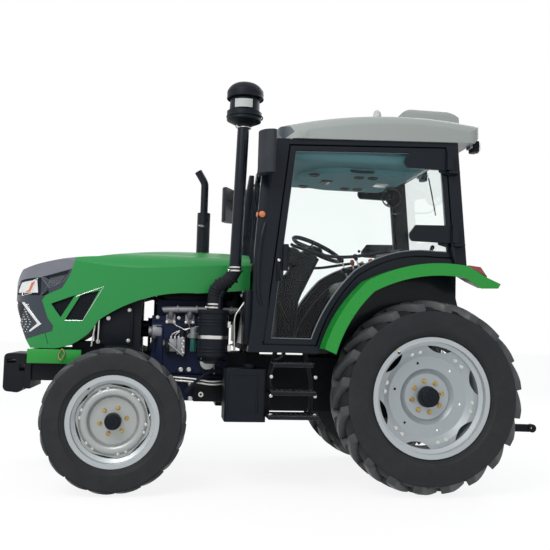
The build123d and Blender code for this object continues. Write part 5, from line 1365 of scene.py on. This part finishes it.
def makeLamps():
    parts = []
    for points, faces in islands("lamps"):
        low, high = spanOf(points)
        middle, size = (low + high) / 2, high - low
        out = 1 if middle.y > 0 else -1
        if low.z > lampFloors["beacon"]:
            r, tall = size.x / 2, size.z
            foot = Vector((middle.x, middle.y, low.z))
            dome = [(r * 0.8, 0.022), (r * 0.8, tall * 0.6), (r * 0.7, tall * 0.84),
                    (r * 0.45, tall * 0.96), (0, tall)]
            ring = lathePart(rounded(r * 0.825, r * 0.78, 0.006), foot + Vector((0, 0, 0.032)), alongZ,
                             "clearLens", 40, True)
            parts += [lathePart([(0, 0), (r, 0), (r, 0.012), (r * 0.86, 0.024), (0, 0.024)], foot, alongZ,
                                "plasticBlack", 40),
                      lathePart(dome, foot, alongZ, "clearLens", 40), rowOf(ring, 3, (0, 0, 0.011))]
        elif low.z > lampFloors["work"]:  # square body, round lens to the rear
            side = size.y / 2
            rear = Vector((low.x + 0.013, middle.y, middle.z))
            parts += [boxPart((low.x + 0.012, low.y, low.z + 0.004), (high.x - 0.018, high.y, high.z),
                              "plasticBlack", 0.01),
                      lathePart([(0, 0.002), (side * 0.55, 0.006), (side * 0.8, 0.004), (side * 0.84, 0),
                                 (side * 0.92, 0), (side * 0.92, 0.01), (0, 0.01)],
                                rear, (-1, 0, 0), "lampSilver", 40),
                      lathePart([(0, 0.0115), (side * 0.5, 0.011), (side * 0.82, 0.008),
                                 (side * 0.86, 0.004)],
                                rear, (-1, 0, 0), "clearLens", 40),
                      boxPart((high.x - 0.03, low.y + 0.008, middle.z - 0.014),
                              (high.x, high.y - 0.008, middle.z + 0.014), "castGrey", 0.003)]
            parts.append(rowOf(boxPart((low.x + 0.02, low.y - 0.0015, low.z + 0.012),
                                       (low.x + 0.024, high.y + 0.0015, high.z - 0.008),
                                       "plasticBlack", 0), 5, (0.0075, 0, 0)))
        elif low.z > lampFloors["turn"]:  # on the front post
            parts += [boxPart((low.x, min(low.y, high.y), low.z), (high.x - 0.004, high.y, high.z),
                              "plasticBlack", 0.01),
                      lathePart([(0, 0.014), (0.012, 0.013), (0.02, 0.009), (0.0225, 0), (0.0225, -0.004)],
                                Vector((middle.x - 0.002, middle.y + out * (size.y / 2), middle.z)),
                                (0, out, 0), "amberLens", 32),
                      lathePart([(0, 0.008), (0.014, 0.006), (0.019, 0), (0.019, -0.004)],
                                Vector((high.x - 0.004, middle.y, middle.z)), alongX, "amberLens", 32)]
        else:  # tail wedge on the guard
            parts.append((points, faces, "redLens"))
            parts.append(tubePart([Vector((x, middle.y + out * (size.y / 2 + 0.001), z)) for x, z in
                                   ((low.x + 0.004, low.z + 0.006), (middle.x, middle.z - 0.004),
                                    (high.x - 0.004, high.z - 0.012))],
                                  0.0022, "plasticBlack", 2, False))
    lamps = piece("lampSet", "tractor", parts)
    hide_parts("lamps")


# ---- cab: seals, hinges, handles, rails, mirrors, wipers, lining ----
cabDetail = {
    "frameY": 0.598, "sealInset": 0.0185, "sealDepth": 0.01, "sealRadius": 0.0042,
    "handle": (0.981, 1.008, 1.352, 1.508),  # X and Z spans
    "hinges": (1.7, 2.19),
    "rail": [(1.09, 0.585, 1.18), (1.125, 0.615, 1.22), (1.128, 0.618, 1.5), (1.1, 0.612, 1.72),
             (1.07, 0.58, 1.76)],
    "wiperPivot": (1.052, 2.205),
    "vents": (0.373, 0.272, 0.7), "ventZ": 2.14,
    "grabBar": [(0.9, 0.535, 1.6), (0.9, 0.5, 1.6), (0.6, 0.495, 1.515), (0.24, 0.495, 1.585),
                (0.24, 0.535, 1.585)],
}


def makeDoorDetail(side):
    user = cabDetail
    body, sign = "door_" + side, 1 if side == "left" else -1
    frameY = user["frameY"]
    points, faces = islands("door_glass_" + side)[0]
    opening = rimsOf(points, faces, sign * max(abs(p.y) for p in points))[0]
    # seal line round the door glass, pale as a painted highlight on the edge
    parts = [tubePart([Vector((x, sign * (frameY - user["sealDepth"]), z)) for x,
                       z in shrunk(opening, user["sealInset"])],
                      user["sealRadius"], "sealHighlight", 2, False, True)]
    x0, x1, z0, z1 = user["handle"]
    parts += [boxAt((x0, x1), sorted((sign * frameY, sign * (frameY + 0.012))), (z0, z1), "plasticBlack",
                    0.006),
              boxAt((x0 + 0.005, x1 - 0.005), sorted((sign * (frameY + 0.012), sign * (frameY + 0.034))),
                    (z0 + 0.03, z0 + 0.115), "plasticBlack", 0.006),
              lathePart([(0, 0), (0.01, 0), (0.01, 0.012), (0.006, 0.014), (0, 0.01)],
                        at((x0 + x1) / 2, sign * (frameY + 0.01), z1 - 0.022),
                        (0, sign, 0), "zincSteel", 24)]
    for z in user["hinges"]:
        for x in (0.145, -0.005):
            parts.append(boltAt((x, sign * (frameY + 0.022), z), (0, sign, 0), 0.0085, 0.007, "plasticBlack"))
    parts.append(tubeAt([(x, sign * y, z) for x, y, z in user["grabBar"]], 0.011, "plasticBlack", 3))
    piece("doorDetail_" + side, body, parts)


def makeCabDetail():
    user = cabDetail
    parts = [tubeAt(user["rail"], 0.0115, "frameBlack", 4)]
    for k in (0, -1):
        x, y, z = user["rail"][k]
        parts.append(lathePart([(0, 0), (0.02, 0), (0.02, 0.005), (0, 0.005)], at(x, y - 0.004, z),
                               (0.3, 1, 0), "frameBlack", 20))
    # outer cover of the front post, and the cover beside the firewall
    parts += [platePart(fromAxle([(1.158, 0.96), (1.152, 1.55), (1.12, 2.05), (1.086, 2.275),
                                  (1.046, 2.275), (1.046, 0.96)]),
                        0.556, 0.592, "frameBlack", 0.006),
              boxAt((1.15, 1.196), (0.3, 0.545), (0.93, 1.29), "plasticBlack", 0.01)]
    # fish-tail feet of the hinge covers, on the rear post
    for z in user["hinges"]:
        parts += [platePart(fromAxle([(-0.15, z - 0.085), (-0.078, z - 0.066), (-0.072, z + 0.052),
                                      (-0.155, z + 0.058), (-0.128, z)]),
                            0.6, 0.618, "frameBlack", 0.004)]
        for dz in (-0.052, 0.04):
            parts.append(boltAt((-0.108, 0.618, z + dz), alongY, 0.008, 0.006, "plasticBlack"))
    # a short handrail low on the rear post
    parts.append(tubeAt([(-0.196, 0.604, 1.517), (-0.176, 0.628, 1.56), (-0.168, 0.628, 1.72),
                         (-0.176, 0.604, 1.762)], 0.01, "frameBlack", 3))
    piece("cabRails", "tractor", bothSides(parts))

    x, z = user["wiperPivot"]
    wiper = [lathePart([(0, 0), (0.02, 0), (0.02, 0.02), (0.012, 0.028), (0, 0.028)],
                       at(x, 0.06, z + 0.015), (1, 0, -0.1), "plasticBlack", 24),
             tubeAt([(x + 0.03, 0.06, z + 0.015), (x + 0.042, 0.04, z - 0.12),
                     (x + 0.052, -0.02, z - 0.36)], 0.0055, "plasticBlack", 3),
             tubeAt([(x + 0.034, -0.02, z - 0.14), (x + 0.046, -0.02, z - 0.36),
                     (x + 0.06, -0.02, z - 0.6)], 0.0075, "hoseBlack", 2)]
    wiper.append(tubeAt([(-0.265, -0.1, 2.235), (-0.275, -0.05, 2.1), (-0.28, 0.02, 1.93)], 0.005,
                        "plasticBlack", 3))
    piece("wipers", "tractor", wiper)

    lining = []
    z = user["ventZ"]
    for x in user["vents"]:
        for y in (-0.22, 0.22):
            slat = boxPart(at(x - 0.024, y - 0.026, z - 0.003), at(x - 0.021, y + 0.026, z + 0.004),
                           "plasticBlack", 0)
            lining += [ringAt((x, y, z - 0.006), alongZ, 0.026, 0.038, 0.01, "plasticBlack", 32),
                       rowOf(slat, 6, (0.009, 0, 0))]
    lining += [boxAt((0.529, 0.609), (-0.055, 0.055), (2.134, 2.146), "plasticBlack", 0.004),
               boxAt((0.545, 0.565), (-0.035, -0.005), (2.128, 2.136), "labelPale", 0.002),
               boxAt((0.545, 0.565), (0.005, 0.035), (2.128, 2.136), "labelPale", 0.002),
               boxAt((0.1, 0.2), (-0.05, 0.05), (2.132, 2.144), "clearLens", 0.008),
               tubeAt([(0.3, 0.34, 2.16), (0.3, 0.372, 2.15), (0.46, 0.374, 2.148), (0.46, 0.34, 2.16)],
                      0.009, "plasticBlack", 3)]
    piece("liningDetail", "tractor", lining)

    # fan on a bracket at the far rear post
    fan = [ringAt((-0.034, -0.325, 2.108), (0.25, 1, 0), 0.072, 0.078, 0.05, "plasticBlack", 40),
           lathePart([(0, 0), (0.02, 0), (0.022, 0.012), (0.018, 0.04), (0, 0.042)],
                     at(-0.034, -0.32, 2.108), (0.25, 1, 0), "plasticBlack", 24),
           tubeAt([(-0.03, -0.3, 2.03), (-0.04, -0.34, 1.98), (-0.12, -0.46, 2.0), (-0.16, -0.52, 2.02)],
                  0.007, "plasticBlack", 3)]
    guard = tubePart([Vector((0.022, 0, 0)), Vector((0.05, 0, 0)), Vector((0.075, 0, 0))], 0.0012,
                     "plasticBlack", 1, False)
    spin = Matrix.Translation(at(-0.022, -0.277, 2.108)) @ Matrix.Rotation(-0.245, 4, "Z")
    fan.append(moved(repeated("ring", guard, 24), spin))
    blade = ([Vector((0.018, 0.0, -0.006)), Vector((0.066, 0.006, -0.022)), Vector((0.066, -0.01, 0.02)),
              Vector((0.018, -0.004, 0.006))],
             [(0, 1, 2, 3), (3, 2, 1, 0)], "plasticBlack")
    fan.append(moved(repeated("ring", blade, 5), Matrix.Translation(at(-0.028, -0.3,
                                                                       2.108)) @ Matrix.Rotation(-0.245, 4,
                                                                                                 "Z")))
    piece("cabFan", "tractor", fan)

    skin = skinOf("mirrors")
    parts = []
    for points, _ in islands("mirrors"):
        low, high = spanOf(points)
        width, tall = high.y - low.y, high.z - low.z
        y0, y1 = low.y + 0.1 * width, high.y - 0.1 * width
        z0, z1 = low.z + 0.3 * tall, high.z - 0.1 * tall
        parts.append(backPatch(skin, [(y0, z0), (y1, z0), (y1, z1), (y0, z1)], 0.0015, 0.004, "mirrorFace"))
    piece("mirrorGlass", "tractor", parts)


def backPatch(skin, outline, lift, depth, finish):  # a patch laid on a face that looks to the rear, in Y-Z
    points = []
    for level in (lift, lift - depth):
        for y, z in outline:
            place, normal, _, _ = skin.ray_cast(Vector((-3, y, z)), Vector(alongX))
            if place is None:
                place, normal, _, _ = skin.find_nearest(Vector((0, y, z)))
            points.append(place + normal * level)
    count = len(outline)
    shape = bmesh.new()
    verts = [shape.verts.new(p) for p in points]
    shape.faces.new(verts[:count])
    shape.faces.new(verts[count:])
    for k in range(count):
        n = (k + 1) % count
        shape.faces.new((verts[k], verts[n], verts[count + n], verts[count + k]))
    bmesh.ops.recalc_face_normals(shape, faces=shape.faces)
    return fromBmesh(shape, finish)


# ---- driver's place: seat, dash, levers, pedals ----
seatDetail = {
    "pan": ((0.085, -0.215, 1.3), (0.515, 0.215, 1.388)), "back": ((0.045, -0.205, 1.4), (0.14, 0.205, 1.66)),
    "voxel": 0.008, "shrink": 0.012, "cap": 0.014, "frames": 20, "pressure": 4.0,
    "crown": 0.008, "seam": 0.007, "seamWidth": 0.01,
}


def padCushion(name, low, high, channels):
    user = seatDetail
    low = Vector((rearHub.x, 0, 0)) + Vector(low) + Vector((1, 1, 1)) * user["shrink"]
    high = Vector((rearHub.x, 0, 0)) + Vector(high) - Vector((1, 1, 1)) * user["shrink"]
    points, faces, _ = boxPart(low, high, "seatFabric", min(high - low) * 0.42)
    mesh = bpy.data.meshes.new(name)
    mesh.from_pydata([tuple(p) for p in points], [], faces)
    holder = bpy.data.objects.new(name, mesh)
    scene.collection.objects.link(holder)
    remesh = holder.modifiers.new("remesh", "REMESH")
    remesh.mode, remesh.voxel_size = "VOXEL", user["voxel"]
    solid = applied(holder)
    start = [v.co.copy() for v in solid.vertices]
    middle, half = (low + high) / 2, (high - low) / 2
    thin = min(range(3), key=lambda k: half[k])
    cloth = holder.modifiers.new("cloth", "CLOTH")
    cloth.settings.use_pressure = True
    cloth.settings.uniform_pressure_force = user["pressure"]
    cloth.settings.effector_weights.gravity = 0
    for step in range(1, user["frames"] + 1):
        scene.frame_set(step)
        bpy.context.evaluated_depsgraph_get()
    end = [v.co.copy() for v in applied(holder).vertices]
    scene.frame_set(1)
    for vert, before, after in zip(holder.data.vertices, start, end):
        move = after - before
        if move.length > user["cap"]:
            move *= user["cap"] / move.length
        place = before + move
        across = [place[k] - middle[k] for k in range(3)]
        crown = 1
        for k in range(3):
            if k != thin:
                crown *= 1 - (across[k] / half[k]) ** 4 * 0.5 if abs(across[k]) < half[k] else 0.5
        seam = 0
        for share in channels:  # sewn channels across the width
            gap = (across[1] - share * half[1]) / user["seamWidth"]
            seam += math.exp(-gap * gap)
        outer = 1 if across[thin] > 0 else 0
        place[thin] += outer * (user["crown"] * crown - user["seam"] * min(1, seam))
        vert.co = place
    smooth = holder.modifiers.new("smooth", "SUBSURF")
    smooth.levels = smooth.render_levels = 1
    applied(holder)
    holder.data.materials.append(materials["seatFabric"])
    holder.data.shade_smooth()
    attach(holder, "tractor")
    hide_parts("seat")
    return holder


def applied(holder):  # the evaluated mesh in place of the object's own, with no modifier left
    graph = bpy.context.evaluated_depsgraph_get()
    mesh = bpy.data.meshes.new_from_object(holder.evaluated_get(graph))
    holder.modifiers.clear()
    holder.data = mesh
    return mesh


def makeSeat():
    user = seatDetail
    padCushion("seatCushion", *user["pan"], (-0.62, 0.62))
    padCushion("seatBack", *user["back"], (-0.6, 0.0, 0.6))
    (px0, py0, pz0), (px1, py1, _) = user["pan"]
    (bx0, by0, bz0), (_, by1, bz1) = user["back"]
    frameParts = [boxAt((px0 - 0.02, px1 - 0.03), (py0 + 0.02, py1 - 0.02), (pz0 - 0.012, pz0 + 0.01),
                        "plasticBlack", 0.006),
                  boxAt((bx0 - 0.012, bx0 + 0.008), (by0 + 0.012, by1 - 0.012), (bz0 - 0.05, bz1 - 0.015),
                        "plasticBlack", 0.008)]
    for side in (-1, 1):
        frameParts += [tubeAt([(bx0 + 0.05, side * 0.236, 1.47), (bx0 + 0.16, side * 0.245, 1.5),
                               (bx0 + 0.33, side * 0.245, 1.505)], 0.02, "plasticBlack", 5),
                       boxAt((bx0 + 0.03, bx0 + 0.07), sorted((side * 0.216, side * 0.234)), (1.4, 1.5),
                             "plasticBlack", 0.005)]
    piece("seatFrame", "tractor", frameParts)


controlDetail = {
    # foot, top, finish of the knob
    "levers": [((0.3, -0.32, 1.42), (0.36, -0.33, 1.6), "plasticBlack"),
               ((0.24, -0.33, 1.42), (0.27, -0.34, 1.58), "gripRed"),
               ((0.18, -0.33, 1.42), (0.19, -0.34, 1.57), "gripYellow"),
               ((0.1, -0.32, 1.42), (0.06, -0.33, 1.55), "plasticBlack"),
               ((0.34, 0.3, 1.4), (0.41, 0.3, 1.56), "plasticBlack"),
               ((0.26, 0.31, 1.4), (0.3, 0.31, 1.53), "gripRed"),
               ((-0.26, -0.3, 1.5), (-0.375, -0.3, 1.72), "plasticBlack")],
    "dials": [(-0.07, 0.034), (0.0, 0.042), (0.075, 0.034)],  # Y and radius
    "pedals": (-0.2, -0.11, 0.2),
    "dialSlope": (-0.42, 0, 0.91),
}


def makeControls():
    parts = [boxAt((0.78, 0.905), (-0.15, 0.15), (1.5, 1.56), "plasticBlack", 0.015),
             platePart(fromAxle([(0.7, 1.56), (0.905, 1.655), (0.93, 1.64), (0.93, 1.56), (0.76, 1.535)]),
                       -0.14, 0.14, "plasticBlack", 0.01)]
    parts += [platePart(fromAxle([(0.64, 1.575), (0.735, 1.615), (0.925, 1.33), (0.925, 0.955),
                                  (0.8, 0.955), (0.77, 1.24)]), -0.115, 0.115,
                        "plasticBlack", 0.012),
              platePart(fromAxle([(0.1, 1.38), (0.42, 1.33), (0.64, 1.02), (0.64, 0.955), (0.1, 0.955)]),
                        -0.53, -0.5,
                        "plasticBlack", 0.01),
              boxAt((0.6, 0.95), (-0.548, -0.52), (0.95, 1.09), "plasticBlack", 0.008)]
    slope = Vector(controlDetail["dialSlope"]).normalized()
    for y, r in controlDetail["dials"]:  # bare faces
        place = at(0.8, y, 1.611)
        parts += [lathePart([(0, 0), (r, 0), (r, 0.01), (r * 0.88, 0.01), (r * 0.86, 0.003), (0, 0.003)],
                            place, slope, "plasticBlack", 32),
                  lathePart([(0, 0.0036), (r * 0.84, 0.0036), (r * 0.84, 0.0026)], place, slope, "dialPale",
                            32)]
    # column under the wheel, levers each side of it
    parts += [tubeAt([(0.8, 0, 1.56), (0.72, 0, 1.59), (0.66, 0, 1.618)], 0.03, "plasticBlack", 5, False),
              tubeAt([(0.72, 0.02, 1.6), (0.7, 0.1, 1.64), (0.68, 0.16, 1.655)], 0.006, "plasticBlack", 3),
              tubeAt([(0.72, -0.02, 1.6), (0.7, -0.1, 1.64), (0.68, -0.15, 1.655)], 0.006, "plasticBlack", 3)]
    for foot, top, grip in controlDetail["levers"]:
        parts += [tubeAt([foot, top], 0.0055, "zincSteel", 3, False),
                  lathePart([(0, -0.03), (0.011, -0.026), (0.016, -0.006), (0.017, 0.006), (0.012, 0.018),
                             (0, 0.022)], at(*top), Vector(top) - Vector(foot), grip, 20),
                  lathePart([(0.02, 0), (0.014, 0.012), (0.016, 0.018), (0.01, 0.03), (0.006, 0.034)],
                            at(*foot), alongZ, "hoseBlack", 20)]
    for y in controlDetail["pedals"]:
        parts += [boxAt((0.835, 0.85), (y - 0.035, y + 0.035), (1.045, 1.115), "hoseBlack", 0.004),
                  tubeAt([(0.852, y, 1.08), (0.9, y, 1.16), (0.96, y, 1.3)], 0.008, "frameBlack", 3)]
    piece("controls", "tractor", parts)


stepDetail = {"span": (0.727, 1.044), "treads": [(0.475, 0.7), (0.625, 0.688),
                                                 (0.8, 0.64)]}  # X span; Z and outer Y


def makeFloorAndTank():
    parts = []
    x0, x1 = stepDetail["span"]
    for z, out in stepDetail["treads"]:  # teeth on every tread
        tooth = boxPart(at(x0 + 0.02, out - 0.014, z + 0.024), at(x0 + 0.03, out - 0.002, z + 0.029),
                        "treadSteel", 0.001)
        parts += [rowOf(tooth, 17, (0.017, 0, 0)),
                  *[rowOf(boxPart(at(x0 + 0.024, out - inner, z + 0.024),
                                  at(x0 + 0.04, out - inner + 0.013, z + 0.029), "treadSteel", 0.001),
                          9, (0.032, 0, 0)) for inner in (0.075, 0.135)]]
    for x in (x0 + 0.016, x1 - 0.016):
        parts.append(rowOf(boltPart(at(x, 0.655, 0.5), alongY, 0.008, 0.007, "zincSteel"), 3, (0, 0, 0.12)))
    piece("stepTeeth", "tractor", bothSides(parts))

    skin = skinOf("side_boxes")
    line = [skinLine(skin, "side", fromAxle([(1.067, 0.742), (1.34, 0.742)]), 0.0022, "hoseBlack", 0.0004),
            skinLine(skin, "side", fromAxle([(1.11, 0.76), (1.11, 0.5)]), 0.006, "castBlack", 0.001),
            skinLine(skin, "side", fromAxle([(1.3, 0.76), (1.3, 0.5)]), 0.006, "castBlack", 0.001)]
    top = onSkin(skin, "top", at(1.15, 0, 0).x, 0.5)
    line += [lathePart([(0, 0), (0.036, 0), (0.038, 0.006), (0.038, 0.022), (0.03, 0.028), (0, 0.028)], top,
                       alongZ, "plasticBlack", 32)]
    piece("tankDetail", "tractor", bothSides(line))
    under = [tubeAt([(1.006, 0.6, 0.842), (0.958, 0.6, 0.851), (0.95, 0.59, 0.88)], 0.01, "frameBlack", 3),
             tubeAt([(1.005, 0.595, 0.798), (1.046, 0.59, 0.699), (1.001, 0.585, 0.656)], 0.008,
                    "hoseBlack", 3)]
    piece("underCabHoses", "tractor", under)


# ---- rear: hydraulic couplers ----
couplerDetail = {
    "plate": ((-0.385, -0.372), (-0.2, 0.2), (0.96, 1.08)), "heights": (0.99, 1.05),
    "caps": [(-0.15, "gripRed"), (-0.09, "gripYellow"), (0.09, "plasticBlack"), (0.15, "gripRed")],
                 # Y and finish
    "socket": [(0.012, 0), (0.02, 0), (0.02, 0.03), (0.017, 0.034), (0.012, 0.034)],
    "cap": [(0, 0.034), (0.024, 0.034), (0.024, 0.041), (0, 0.043)],
}


def makeRear():
    user = couplerDetail
    parts = [boxAt(*user["plate"], "frameBlack", 0.004)]
    for y, finish in user["caps"]:
        for z in user["heights"]:
            parts += [lathePart(user["socket"], at(-0.385, y, z), (-1, 0, 0), "zincSteel", 24, True),
                      lathePart(user["cap"], at(-0.385, y, z), (-1, 0, 0), finish, 24)]
            parts.append(tubeAt([(-0.372, y, z), (-0.31, y, z), (-0.27, y * 0.8, z + 0.02),
                                 (-0.22, y * 0.6, 0.93)], 0.009, "hoseBlack", 3))
    parts += [lathePart([(0, 0), (0.026, 0), (0.026, 0.022), (0, 0.022)], at(-0.385, 0, 1.035), (-1, 0, 0),
                        "plasticBlack", 24)]
    piece("rearCouplers", "tractor", parts)


makeCamera()
makeStage()
print("stage ready")
makeMaterials()
paintNodes()
print("finishes ready")
makeTyres()
print("tyres ready")
makeNose()
print("nose ready")
makeEngine()
print("engine bay ready")
makeAirIntake()
makeExhaust()
print("air intake ready")
makeWheelDetail()
makeLamps()
print("wheels and lamps ready")
for doorSide in ("left", "right"):
    makeDoorDetail(doorSide)
makeCabDetail()
print("cab ready")
makeSeat()
makeControls()
makeFloorAndTank()
makeRear()
print("inside and rear ready")
